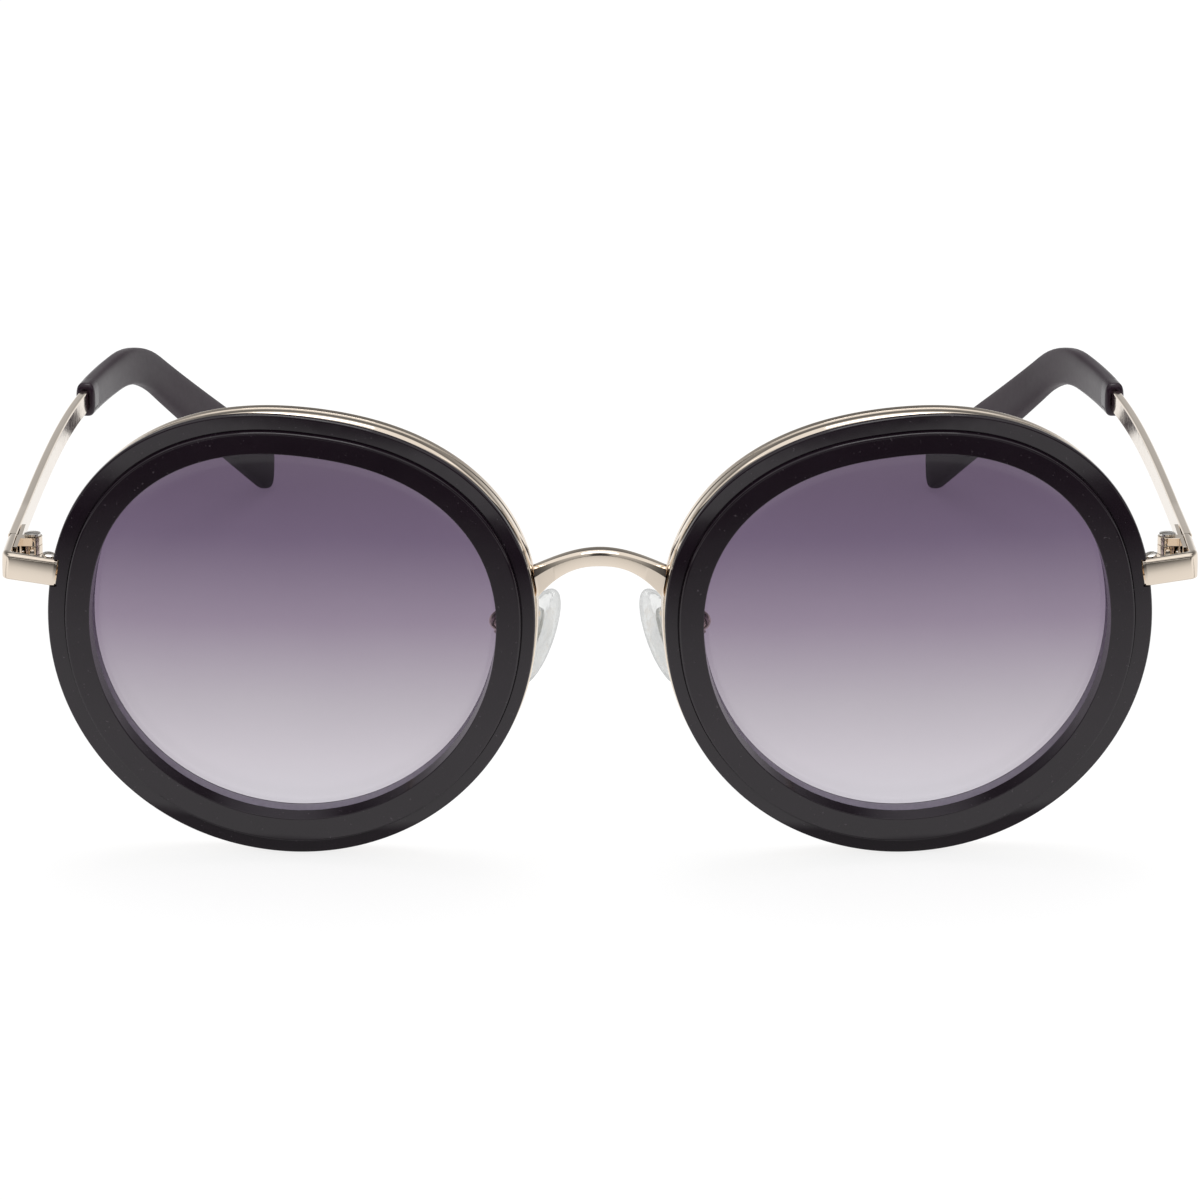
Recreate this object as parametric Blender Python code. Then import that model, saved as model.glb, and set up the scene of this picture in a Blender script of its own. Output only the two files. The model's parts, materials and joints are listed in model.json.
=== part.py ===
"""Round sunglasses: acetate rings held in metal eyewires, with thin metal temples and acetate tips.

The glasses stand open on the lower edges of both rings and on both temple tips.
+X is the wearer's left, -Y the way the wearer faces, and +Z is up. All sizes are in metres.
The pieces are first placed in the worn frame, where the temples run level, and then stood up.
"""

import math

import bmesh
import bpy
from mathutils import Matrix, Vector

# The opening of a ring, seen from the front: two half superellipses that share their widest line
OPENING_HALF_WIDTH = 0.0245
OPENING_UP = 0.0227
OPENING_DOWN = 0.0262
UPPER_POWER = 2.27
LOWER_POWER = 2.03
OPENING_ROLL = math.radians(7)
BAND_DROP_SHARE = 0.06
OUTLINE_STEPS = 56

# Stretches of the outline, from low to high, in which a height is searched
TEMPLE_SIDE_ARC = (math.radians(-72), math.radians(72))
NOSE_SIDE_ARC = (math.radians(252), math.radians(108))
SEARCH_STEPS = 50

# How the front is set
EYE_DISTANCE = 0.0744
WRAP = math.radians(3.5)
PANTOSCOPIC_TILT = math.radians(9.8)

# Fits: a part that rests on or is brazed to another, a part that slides in another, a pin in its bore
SEAT_GAP = 0.0001
FIT_GAP = 0.00008
PIN_GAP = 0.00005
CUT_OVERRUN = 0.001

# Acetate ring: a raised band inside, a lower lip outside and an insert that the eyewire grips
RAISED_WIDTH = 0.0031
LIP_WIDTH = 0.0019
STEP_DEPTH = 0.0007
LIP_THICKNESS = 0.0010
RING_DEPTH = 0.0046
RING_EDGE_BREAK = 0.00025
INSERT_RIDGE = 0.0004
NOTCH_DEPTH = 0.0006
NOTCH_SIDE_GAP = 0.0001

# Lens
LENS_RECESS = 0.0021
LENS_THICKNESS = 0.0016
LENS_BULGE = 0.0011
LENS_GROOVE = 0.0007
LENS_RING_SHARES = (0.35, 0.7)

# Eyewire
EYEWIRE_WALL = 0.0012
EYEWIRE_DEPTH = 0.0029
EYEWIRE_EDGE_BREAK = 0.0002
EYEWIRE_LINE = 0.00025

# End piece: a flat bar from the rim round the corner to the hinge
END_RISE = 0.0060
END_HEIGHT = 0.0034
END_THICKNESS = 0.0012
END_TONGUE_THICKNESS = 0.0008
END_FRONT_SETBACK = 0.0002
END_REACH = 0.0065
END_SWEEP = math.radians(29)
END_CORNER_RADIUS = 0.0013
END_CORNER_STEPS = 5
END_RETURN = 0.0080

# Rim lock: two blocks on the ends of the split eyewire and the screw that closes them
RIM_SPLIT = 0.0003
LOCK_WIDTH = 0.0018
LOCK_HEIGHT = 0.0010
LOCK_DROP = 0.0006
LOCK_SCREW_RADIUS = 0.00045
LOCK_HEAD_RADIUS = 0.00075
LOCK_HEAD_HEIGHT = 0.0004

# Temple hinge: two knuckles on the front, one on the temple and a screw through all three
HINGE_STANDOFF = 0.0020
HINGE_BEFORE_SEAM = 0.0007
KNUCKLE_RADIUS = 0.0012
KNUCKLE_STACK = 0.0032
MIDDLE_KNUCKLE = 0.0011
KNUCKLE_GAP = 0.00005
KNUCKLE_STEPS = 12
KNUCKLE_ROUND_START = math.radians(99)
KNUCKLE_ROUND_STOP = math.radians(324)
PLATE_END_GAP = 0.0003
HINGE_PLATE_THICKNESS = 0.0005
FRONT_PLATE_LENGTH = 0.0050
TEMPLE_PLATE_LENGTH = 0.0060
HINGE_SCREW_RADIUS = 0.00055
HINGE_HEAD_RADIUS = 0.0010
HINGE_HEAD_HEIGHT = 0.00035

# Temple, measured back from its hinge
TEMPLE_THICKNESS = 0.0011
TEMPLE_HEIGHT = 0.0029
TEMPLE_TAPER_LENGTH = 0.014
TEMPLE_LENGTH = 0.1430
TEMPLE_BEND_RUN = 0.0870
TEMPLE_BEND_RADIUS = 0.0252
TEMPLE_DROP = math.radians(33.3)
TEMPLE_INWARD_RUN = 0.0823
TEMPLE_INWARD_TURN = math.radians(23.7)
TEMPLE_INWARD_SOFTNESS = 0.0254
BAR_STATIONS = 10
CORE_THICKNESS = 0.0009
CORE_HEIGHT = 0.0017
CORE_END_MARGIN = 0.012

# Temple tip: an acetate sleeve over the temple's core
TIP_START_RUN = 0.0714
TIP_THICKNESS = 0.0026
TIP_FRONT_HEIGHT = 0.0046
TIP_BEND_HEIGHT = 0.0051
TIP_END_HEIGHT = 0.0080
TIP_ROUND_LENGTH = 0.0032
TIP_ROUND_TURN = math.radians(80)
TIP_ROUND_STEPS = 4
TIP_STATIONS = 12
TIP_SIDES = 12
TIP_CORNER_POWER = 3.2

# Bridge: an arched bar between the eyewires
BRIDGE_TOP = 0.0101
BRIDGE_MIDDLE_HEIGHT = 0.0020
BRIDGE_END_TOP = 0.0077
BRIDGE_END_HEIGHT = 0.0037
BRIDGE_DEPTH = 0.0017
BRIDGE_UNDER_POWER = 2.4
BRIDGE_STATIONS = 17
BRIDGE_EDGE_SHARE = 0.16

# Nose pads: place of the pad screws and the set of the pads
PAD_SCREW_SPACING = 0.0216
PAD_SETBACK = 0.0078
PAD_DROP = 0.0045
PAD_TURN = math.radians(28)
PAD_SPLAY = math.radians(31)
PAD_HEIGHT = 0.0140
PAD_WIDTH = 0.0080
PAD_THICKNESS = 0.0026
PAD_STANDOFF = 0.0019
PAD_TAPER_SHARE = 0.22
# How deep through the pad, and how wide the pad is there, from its back to its face
PAD_PROFILE_SHARES = (
    (0, 0.76), (0.06, 0.88), (0.22, 0.97), (0.42, 1), (0.64, 0.96), (0.84, 0.82), (0.97, 0.55), (1, 0.3),
)
PAD_STEPS = 28
PAD_CORE_HEIGHT = 0.0082
PAD_CORE_WIDTH = 0.0044
PAD_CORE_THICKNESS = 0.0007
PAD_BOSS_THICKNESS = 0.0010
PAD_BOSS_RADIUS = 0.0009
PAD_SCREW_RADIUS = 0.0004
PAD_HEAD_RADIUS = 0.0007
PAD_HEAD_HEIGHT = 0.0004
PAD_BOX_WALL = 0.0005
PAD_BOX_HALF_HEIGHT = 0.0010
PAD_BOX_BACK = 0.0011

# Pad arms: round wire from the back of the eyewire to the pad box
ARM_RADIUS = 0.0005
ARM_RISE = 0.0005
ARM_LEAD_BACK = 0.0050
ARM_LEAD_OUT = 0.0060
ARM_POINTS = 12
ARM_SIDES = 8

# Screws: driver slots and the sides of every small round
SLOT_WIDTH = 0.00022
SLOT_DEPTH = 0.00018
ROUND_SIDES = 20

# Bars: sides and corner power of their cross-section
BAR_SIDES = 8
BAR_CORNER_POWER = 8

# Rounds of levelling until rings and tips stand on one plane
LEAN_STEPS = 12

SIDES = (("left", 1), ("right", -1))
BAND_WIDTH = RAISED_WIDTH + LIP_WIDTH
LIP_BACK = STEP_DEPTH + LIP_THICKNESS
EYEWIRE_FRONT = LIP_BACK + SEAT_GAP
EYEWIRE_BACK = EYEWIRE_FRONT + EYEWIRE_DEPTH
EYEWIRE_INNER = BAND_WIDTH - EYEWIRE_WALL
INSERT_OUTER = EYEWIRE_INNER - FIT_GAP
RIDGE_DEPTH = (LIP_BACK + RING_DEPTH) / 2
TONGUE_FRONT = STEP_DEPTH + END_FRONT_SETBACK
LOCK_FRONT = TONGUE_FRONT + END_THICKNESS + LOCK_WIDTH * math.tan(END_SWEEP - WRAP) + SEAT_GAP
FULL_TURN = math.tau


# Materials

def finish(name, colour, roughness, metallic=0.0, alpha=1.0):
    """A Principled material from an sRGB hex colour."""
    material = bpy.data.materials.new(name)
    material.use_nodes = True
    shader = material.node_tree.nodes["Principled BSDF"]
    channels = [int(colour[start:start + 2], 16) / 255 for start in (1, 3, 5)]
    linear = [((value + 0.055) / 1.055) ** 2.4 if value > 0.04045 else value / 12.92 for value in channels]
    shader.inputs["Base Color"].default_value = (*linear, 1)
    shader.inputs["Roughness"].default_value = roughness
    shader.inputs["Metallic"].default_value = metallic
    shader.inputs["Alpha"].default_value = alpha
    return material


# Frames and objects

def empty(name, parent, matrix):
    frame = bpy.data.objects.new(name, None)
    bpy.context.collection.objects.link(frame)
    frame.parent = parent
    frame.matrix_basis = matrix
    return frame


def solid(name, shape, parent, material, matrix=None):
    """One object from a bmesh whose faces are turned to point out."""
    bmesh.ops.recalc_face_normals(shape, faces=shape.faces)
    mesh = bpy.data.meshes.new(name)
    shape.to_mesh(mesh)
    shape.free()
    mesh.shade_smooth()
    mesh.set_sharp_from_angle(angle=math.radians(30))
    mesh.materials.append(material)
    obj = bpy.data.objects.new(name, mesh)
    bpy.context.collection.objects.link(obj)
    obj.parent = parent
    if matrix is not None:
        obj.matrix_basis = matrix
    return obj


def helper(name, shape, parent, matrix=None):
    """A shape that only cuts or joins another, and is not a piece itself."""
    obj = solid(name, shape, parent, bpy.data.materials["steel"], matrix)
    obj.hide_render = True
    obj.display_type = "WIRE"
    return obj


def combine(obj, other, operation):
    modifier = obj.modifiers.new(other.name, "BOOLEAN")
    modifier.operation = operation
    modifier.solver = "EXACT"
    modifier.object = other


# Shapes

def loft(loops):
    """Loops of as many points each, joined in order and closed by a face at both ends."""
    shape = bmesh.new()
    rows = [[shape.verts.new(point) for point in loop] for loop in loops]
    for row, following in zip(rows, rows[1:]):
        for index in range(len(row)):
            after = (index + 1) % len(row)
            shape.faces.new((row[index], row[after], following[after], following[index]))
    shape.faces.new(rows[0])
    shape.faces.new(rows[-1])
    return shape


def prism(corners, bottom, top):
    """A polygon in X and Y, given a height along Z."""
    return loft([[Vector((x, y, z)) for x, y in corners] for z in (bottom, top)])


def box(low, high):
    corners = [(low[0], low[1]), (high[0], low[1]), (high[0], high[1]), (low[0], high[1])]
    return prism(corners, low[2], high[2])


def lathe(profile, sides=ROUND_SIDES):
    """Discs of (radius, height) stacked along Z."""
    loops = []
    for radius, height in profile:
        angles = [FULL_TURN * step / sides for step in range(sides)]
        loops.append([Vector((radius * math.cos(a), radius * math.sin(a), height)) for a in angles])
    return loft(loops)


def arc(radius, start, stop, steps):
    angles = [start + (stop - start) * step / steps for step in range(steps + 1)]
    return [(radius * math.cos(angle), radius * math.sin(angle)) for angle in angles]


def section(centre, across, up, sides, power):
    """A superellipse loop round a centre; a high power makes it a rectangle with round corners."""
    points = []
    for step in range(sides):
        angle = FULL_TURN * (step + 0.5) / sides
        reach_across = math.copysign(abs(math.cos(angle)) ** (2 / power), math.cos(angle))
        reach_up = math.copysign(abs(math.sin(angle)) ** (2 / power), math.sin(angle))
        points.append(centre + across * reach_across + up * reach_up)
    return points


# Outline of a rim

def outline(angle, grow):
    """The opening of the wearer's left ring, grown outwards: (x, z) in the lens plane."""
    above = math.sin(angle) >= 0
    if above:
        height = OPENING_UP + grow * (1 - BAND_DROP_SHARE)
    else:
        height = OPENING_DOWN + grow * (1 + BAND_DROP_SHARE)
    power = UPPER_POWER if above else LOWER_POWER
    across = (abs(math.cos(angle)) / (OPENING_HALF_WIDTH + grow)) ** power
    along = (abs(math.sin(angle)) / height) ** power
    radius = (across + along) ** (-1 / power)
    return radius * math.cos(angle + OPENING_ROLL), radius * math.sin(angle + OPENING_ROLL)


def angle_at(height, grow, nasal=False):
    """Where the grown outline passes a height, on its temple side or on its nose side."""
    low, high = NOSE_SIDE_ARC if nasal else TEMPLE_SIDE_ARC
    for _ in range(SEARCH_STEPS):
        middle = (low + high) / 2
        if outline(middle, grow)[1] < height:
            low = middle
        else:
            high = middle
    return (low + high) / 2


def rim_point(side, angle, grow, depth):
    x, z = outline(angle, grow)
    return Vector((side * x, depth, z))


def sweep(profile, side, angles):
    """A closed profile of (grow, depth) carried along the outline, with flat ends."""
    return loft([[rim_point(side, angle, *corner) for corner in profile] for angle in angles])


def closed_sweep(profile, side):
    """A closed profile of (grow, depth) carried all the way round the outline."""
    shape = bmesh.new()
    rows = []
    for step in range(OUTLINE_STEPS):
        angle = FULL_TURN * step / OUTLINE_STEPS
        rows.append([shape.verts.new(rim_point(side, angle, *corner)) for corner in profile])
    for row, following in zip(rows, rows[1:] + rows[:1]):
        for index in range(len(row)):
            after = (index + 1) % len(row)
            shape.faces.new((row[index], row[after], following[after], following[index]))
    return shape


# Rims

def acetate_ring(side, name, eye, material):
    groove_front = LENS_RECESS
    groove_back = LENS_RECESS + LENS_THICKNESS + 2 * FIT_GAP
    groove_inset = LENS_THICKNESS / 4
    profile = [
        (RING_EDGE_BREAK, 0),
        (RAISED_WIDTH - RING_EDGE_BREAK, 0),
        (RAISED_WIDTH, RING_EDGE_BREAK),
        (RAISED_WIDTH, STEP_DEPTH),
        (BAND_WIDTH - RING_EDGE_BREAK, STEP_DEPTH),
        (BAND_WIDTH, STEP_DEPTH + RING_EDGE_BREAK),
        (BAND_WIDTH, LIP_BACK),
        (INSERT_OUTER, LIP_BACK),
        (INSERT_OUTER, RIDGE_DEPTH - INSERT_RIDGE),
        (INSERT_OUTER + INSERT_RIDGE, RIDGE_DEPTH),
        (INSERT_OUTER, RIDGE_DEPTH + INSERT_RIDGE),
        (INSERT_OUTER, RING_DEPTH),
        (0, RING_DEPTH),
        (0, groove_back),
        (LENS_GROOVE, groove_back - groove_inset),
        (LENS_GROOVE, groove_front + groove_inset),
        (0, groove_front),
        (0, RING_EDGE_BREAK),
    ]
    ring = solid(f"acetate_ring_{name}", closed_sweep(profile, side), eye, material)
    half = END_HEIGHT / 2 + NOTCH_SIDE_GAP
    corners = [side * (outline(angle_at(END_RISE + edge, BAND_WIDTH), BAND_WIDTH)[0]) for edge in (-half, half)]
    reach = max(corners, key=abs) + side * CUT_OVERRUN
    slope = [x - side * NOTCH_DEPTH for x in corners]
    loops = []
    for depth in (-CUT_OVERRUN, LIP_BACK + SEAT_GAP / 2):
        loops.append([
            Vector((slope[0], depth, END_RISE - half)),
            Vector((reach, depth, END_RISE - half)),
            Vector((reach, depth, END_RISE + half)),
            Vector((slope[1], depth, END_RISE + half)),
        ])
    combine(ring, helper(f"notch_cutter_{name}", loft(loops), eye), "DIFFERENCE")
    return ring


def lens(side, name, eye, material):
    """A shallow dome with a flat bevelled edge that lies in the ring's groove."""
    front = LENS_RECESS + FIT_GAP
    back = front + LENS_THICKNESS
    bevel = LENS_THICKNESS / 4
    shape = bmesh.new()

    def face_row(share, depth):
        row = []
        for step in range(OUTLINE_STEPS):
            point = rim_point(side, FULL_TURN * step / OUTLINE_STEPS, -FIT_GAP, depth)
            centred = Vector((point.x * share, depth - LENS_BULGE * (1 - share ** 2), point.z * share))
            row.append(shape.verts.new(centred))
        return row

    def edge_row(depth):
        angles = [FULL_TURN * step / OUTLINE_STEPS for step in range(OUTLINE_STEPS)]
        return [shape.verts.new(rim_point(side, angle, LENS_GROOVE - FIT_GAP, depth)) for angle in angles]

    shares = (*LENS_RING_SHARES, 1)
    rows = [face_row(share, front) for share in shares]
    rows += [edge_row(front + bevel), edge_row(back - bevel)]
    rows += [face_row(share, back) for share in reversed(shares)]
    for row, following in zip(rows, rows[1:]):
        for index in range(OUTLINE_STEPS):
            after = (index + 1) % OUTLINE_STEPS
            shape.faces.new((row[index], row[after], following[after], following[index]))
    for row, depth in ((rows[0], front), (rows[-1], back)):
        middle = shape.verts.new((0, depth - LENS_BULGE, 0))
        for index in range(OUTLINE_STEPS):
            shape.faces.new((row[index], row[(index + 1) % OUTLINE_STEPS], middle))
    return solid(f"lens_{name}", shape, eye, material)


def split_angles(half_gap):
    """Start and stop angle of the eyewire, which is open at the rim lock."""
    middle = angle_at(END_RISE - LOCK_DROP, BAND_WIDTH)
    turn = half_gap / (OPENING_HALF_WIDTH + BAND_WIDTH)
    return middle + turn, middle - turn + FULL_TURN


def eyewire(side, name, eye, material):
    outer = BAND_WIDTH
    middle = (EYEWIRE_FRONT + EYEWIRE_BACK) / 2
    groove = INSERT_RIDGE + FIT_GAP
    profile = [
        (EYEWIRE_INNER, EYEWIRE_FRONT),
        (outer - EYEWIRE_EDGE_BREAK, EYEWIRE_FRONT),
        (outer, EYEWIRE_FRONT + EYEWIRE_EDGE_BREAK),
        (outer, middle - EYEWIRE_LINE),
        (outer - EYEWIRE_LINE, middle),
        (outer, middle + EYEWIRE_LINE),
        (outer, EYEWIRE_BACK - EYEWIRE_EDGE_BREAK),
        (outer - EYEWIRE_EDGE_BREAK, EYEWIRE_BACK),
        (EYEWIRE_INNER, EYEWIRE_BACK),
        (EYEWIRE_INNER, RIDGE_DEPTH + groove),
        (EYEWIRE_INNER + INSERT_RIDGE, RIDGE_DEPTH),
        (EYEWIRE_INNER, RIDGE_DEPTH - groove),
    ]
    start, stop = split_angles(RIM_SPLIT / 2)
    between = [FULL_TURN * step / OUTLINE_STEPS for step in range(-OUTLINE_STEPS, 2 * OUTLINE_STEPS)]
    margin = (stop - start) / OUTLINE_STEPS / 4
    angles = [start, *(angle for angle in between if start + margin < angle < stop - margin), stop]
    return solid(f"eyewire_{name}", sweep(profile, side, angles), eye, material)


# Rim locks

def lock_frame(side):
    """On the lock screw's axis at the split, with Z along the rim."""
    grow = BAND_WIDTH + SEAT_GAP + LOCK_WIDTH / 2
    depth = (LOCK_FRONT + EYEWIRE_BACK) / 2
    start, stop = split_angles(RIM_SPLIT / 2)
    above = rim_point(side, start, grow, depth)
    below = rim_point(side, stop, grow, depth)
    along = (above - below).normalized()
    across = Vector((0, 1, 0)).cross(along)
    turn = Matrix((across, Vector((0, 1, 0)), along)).transposed().to_4x4()
    return Matrix.Translation((above + below) / 2) @ turn


def screw(name, parent, matrix, material, radius, length, head_radius, head_height):
    """A slotted screw whose head rests on z = 0 and whose shank runs down from it."""
    profile = [(radius, -length), (radius, 0), (head_radius, 0), (head_radius, head_height)]
    obj = solid(name, lathe(profile), parent, material, matrix)
    reach = head_radius + CUT_OVERRUN
    slot = box(
        (-reach, -SLOT_WIDTH / 2, head_height - SLOT_DEPTH),
        (reach, SLOT_WIDTH / 2, head_height + CUT_OVERRUN),
    )
    combine(obj, helper(f"{name}_slot", slot, parent, matrix), "DIFFERENCE")
    return obj


def rim_lock(side, name, eye, metal, steel):
    profile = [
        (BAND_WIDTH + SEAT_GAP, LOCK_FRONT),
        (BAND_WIDTH + SEAT_GAP + LOCK_WIDTH, LOCK_FRONT),
        (BAND_WIDTH + SEAT_GAP + LOCK_WIDTH, EYEWIRE_BACK),
        (BAND_WIDTH + SEAT_GAP, EYEWIRE_BACK),
    ]
    start, stop = split_angles(RIM_SPLIT / 2)
    turn = LOCK_HEIGHT / (OPENING_HALF_WIDTH + BAND_WIDTH)
    frame = lock_frame(side)
    bore = lathe([
        (LOCK_SCREW_RADIUS + PIN_GAP, -2 * LOCK_HEIGHT - CUT_OVERRUN),
        (LOCK_SCREW_RADIUS + PIN_GAP, 2 * LOCK_HEIGHT + CUT_OVERRUN),
    ])
    cutter = helper(f"rim_lock_bore_{name}", bore, eye, frame)
    for level, angles in (("upper", (start, start + turn)), ("lower", (stop - turn, stop))):
        block = solid(f"rim_lock_{level}_{name}", sweep(profile, side, angles), eye, metal)
        combine(block, cutter, "DIFFERENCE")
    # The blocks fan out with the rim, so their outer edges stand higher under the screw's head
    seat = LOCK_HEIGHT + RIM_SPLIT / 2 + SEAT_GAP + LOCK_HEAD_RADIUS * LOCK_HEIGHT / OPENING_HALF_WIDTH
    length = 2 * LOCK_HEIGHT + RIM_SPLIT
    screw(f"rim_lock_screw_{name}", eye, frame @ Matrix.Translation((0, 0, seat)), steel,
          LOCK_SCREW_RADIUS, length, LOCK_HEAD_RADIUS, LOCK_HEAD_HEIGHT)


# Places in the worn frame

def front_matrix():
    return Matrix.Rotation(PANTOSCOPIC_TILT, 4, "X")


def eye_matrix(side):
    return Matrix.Translation((side * EYE_DISTANCE / 2, 0, 0)) @ Matrix.Rotation(side * WRAP, 4, "Z")


def worn_rim_point(side, height, grow, depth):
    point = rim_point(side, angle_at(height, grow), grow, depth)
    return front_matrix() @ eye_matrix(side) @ point


def end_path(side):
    """Centre line of the end piece: points, and how thick the bar is at each."""
    start = worn_rim_point(side, END_RISE, BAND_WIDTH - NOTCH_DEPTH + SEAT_GAP, TONGUE_FRONT)
    leave = worn_rim_point(side, END_RISE, BAND_WIDTH + SEAT_GAP, TONGUE_FRONT)
    face = [start, leave]
    points = [point + Vector((0, END_TONGUE_THICKNESS / 2, 0)) for point in face]
    outer = side * (abs(leave.x) + END_REACH - END_THICKNESS / 2)
    first = points[1]
    vertex = Vector((outer, first.y + abs(outer - first.x) * math.tan(END_SWEEP), first.z))
    bend = math.pi / 2 - END_SWEEP
    reach = END_CORNER_RADIUS * math.tan(bend / 2)
    heading = Vector((side * math.cos(END_SWEEP), math.sin(END_SWEEP), 0))
    centre = vertex + Vector((-side * END_CORNER_RADIUS, reach, 0))
    for step in range(END_CORNER_STEPS + 1):
        angle = -bend + bend * step / END_CORNER_STEPS
        offset = Vector((side * END_CORNER_RADIUS * math.cos(angle), END_CORNER_RADIUS * math.sin(angle), 0))
        points.append(centre + offset)
    seam = Vector((outer, vertex.y + END_RETURN, first.z))
    points.append(seam - Vector((0, SEAT_GAP, 0)))
    thicknesses = [END_TONGUE_THICKNESS, END_TONGUE_THICKNESS]
    thicknesses += [END_THICKNESS] * END_CORNER_STEPS
    thicknesses += [END_THICKNESS, TEMPLE_THICKNESS]
    return points, thicknesses, heading, seam


def hinge_point(side):
    """Where the hinge axis crosses the temple's centre line height."""
    seam = end_path(side)[3]
    inner = abs(seam.x) - TEMPLE_THICKNESS / 2
    return Vector((side * (inner - HINGE_STANDOFF), seam.y - HINGE_BEFORE_SEAM, seam.z))


# End pieces and hinges

def end_piece(side, name, root, material):
    points, thicknesses, heading, _ = end_path(side)
    upper, lower = [
        worn_rim_point(side, END_RISE + reach, BAND_WIDTH, TONGUE_FRONT)
        for reach in (END_HEIGHT / 2, -END_HEIGHT / 2)
    ]
    rim_up = (upper - lower) / END_HEIGHT
    last = len(points) - 1
    loops = []
    for index, (point, thickness) in enumerate(zip(points, thicknesses)):
        if index < 2:
            along = points[1] - points[0]
        elif index == last:
            along = Vector((0, 1, 0))
        else:
            along = heading.lerp(Vector((0, 1, 0)), (index - 2) / END_CORNER_STEPS)
        up = rim_up.lerp(Vector((0, 0, 1)), max(index - 1, 0) / (last - 1))
        across = along.cross(up).normalized()
        loops.append(section(point, across * thickness / 2, up * END_HEIGHT / 2, BAR_SIDES, BAR_CORNER_POWER))
    return solid(f"end_piece_{name}", loft(loops), root, material)


def hinge_front(side, name, hinge, material):
    outer = HINGE_STANDOFF - SEAT_GAP
    inner = outer - HINGE_PLATE_THICKNESS
    rear = HINGE_BEFORE_SEAM - PLATE_END_GAP
    corners = [
        (outer, rear),
        (outer, -FRONT_PLATE_LENGTH),
        (inner, -FRONT_PLATE_LENGTH),
        (inner, -KNUCKLE_RADIUS),
        *arc(KNUCKLE_RADIUS, -math.pi / 2, -math.pi * 1.5, KNUCKLE_STEPS),
        (inner, rear),
    ]
    corners = [(side * x, y) for x, y in corners]
    obj = solid(f"hinge_front_{name}", prism(corners, -KNUCKLE_STACK / 2, KNUCKLE_STACK / 2), hinge, material)
    half = MIDDLE_KNUCKLE / 2 + KNUCKLE_GAP
    reach = KNUCKLE_RADIUS + CUT_OVERRUN
    slot_edge = inner - SEAT_GAP
    low_x, high_x = sorted((side * slot_edge, -side * reach))
    slot = box((low_x, -KNUCKLE_RADIUS - 2 * SEAT_GAP, -half), (high_x, reach, half))
    combine(obj, helper(f"knuckle_slot_{name}", slot, hinge), "DIFFERENCE")
    combine(obj, hinge_bore(name, "front", hinge), "DIFFERENCE")
    return obj


def hinge_bore(name, leaf, hinge):
    reach = KNUCKLE_STACK / 2 + CUT_OVERRUN
    radius = HINGE_SCREW_RADIUS + PIN_GAP
    return helper(f"hinge_bore_{leaf}_{name}", lathe([(radius, -reach), (radius, reach)]), hinge)


def hinge_temple(side, name, temple, material):
    outer = HINGE_STANDOFF - SEAT_GAP
    inner = outer - HINGE_PLATE_THICKNESS
    front = HINGE_BEFORE_SEAM + PLATE_END_GAP
    within = inner + HINGE_PLATE_THICKNESS / 2
    web_front = front + SEAT_GAP
    web_end = 2 * KNUCKLE_RADIUS
    half = MIDDLE_KNUCKLE / 2
    knuckle = [
        (within, web_front),
        (inner, web_front),
        *reversed(arc(KNUCKLE_RADIUS, KNUCKLE_ROUND_START, KNUCKLE_ROUND_STOP, KNUCKLE_STEPS)),
        (inner, web_end),
        (within, web_end),
    ]
    plate_half = TEMPLE_HEIGHT / 2 - SEAT_GAP
    low_x, high_x = sorted((side * inner, side * outer))
    plate = box((low_x, front, -plate_half), (high_x, TEMPLE_PLATE_LENGTH, plate_half))
    obj = solid(f"hinge_temple_{name}", plate, temple, material)
    tab = prism([(side * x, y) for x, y in knuckle], -half, half)
    combine(obj, helper(f"middle_knuckle_{name}", tab, temple), "UNION")
    combine(obj, hinge_bore(name, "temple", temple), "DIFFERENCE")
    return obj


# Temples

def temple_station(side, run):
    """Centre, half-thickness direction and up direction of the temple at a run from its hinge."""
    bend_start = TEMPLE_BEND_RUN
    bend_stop = bend_start + TEMPLE_BEND_RADIUS * TEMPLE_DROP
    angle = min(max(run - bend_start, 0) / TEMPLE_BEND_RADIUS, TEMPLE_DROP)
    back = min(run, bend_start) + TEMPLE_BEND_RADIUS * math.sin(angle)
    down = TEMPLE_BEND_RADIUS * (1 - math.cos(angle))
    straight = max(run - bend_stop, 0)
    back += straight * math.cos(angle)
    down += straight * math.sin(angle)
    beyond = back - TEMPLE_INWARD_RUN
    soft = math.hypot(beyond, TEMPLE_INWARD_SOFTNESS)
    soft_at_hinge = math.hypot(TEMPLE_INWARD_RUN, TEMPLE_INWARD_SOFTNESS)
    half_slope = math.tan(TEMPLE_INWARD_TURN) / 2
    inset = half_slope * (back + soft - soft_at_hinge)
    slope = half_slope * (1 + beyond / soft)
    outward = HINGE_STANDOFF + TEMPLE_THICKNESS / 2 - inset
    along = Vector((-side * slope * math.cos(angle), math.cos(angle), -math.sin(angle))).normalized()
    up = Vector((0, math.sin(angle), math.cos(angle)))
    across = along.cross(up).normalized()
    return Vector((side * outward, back, -down)), across, up


def temple_loop(side, run, thickness, height, sides, power):
    centre, across, up = temple_station(side, run)
    return section(centre, across * thickness / 2, up * height / 2, sides, power)


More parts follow.
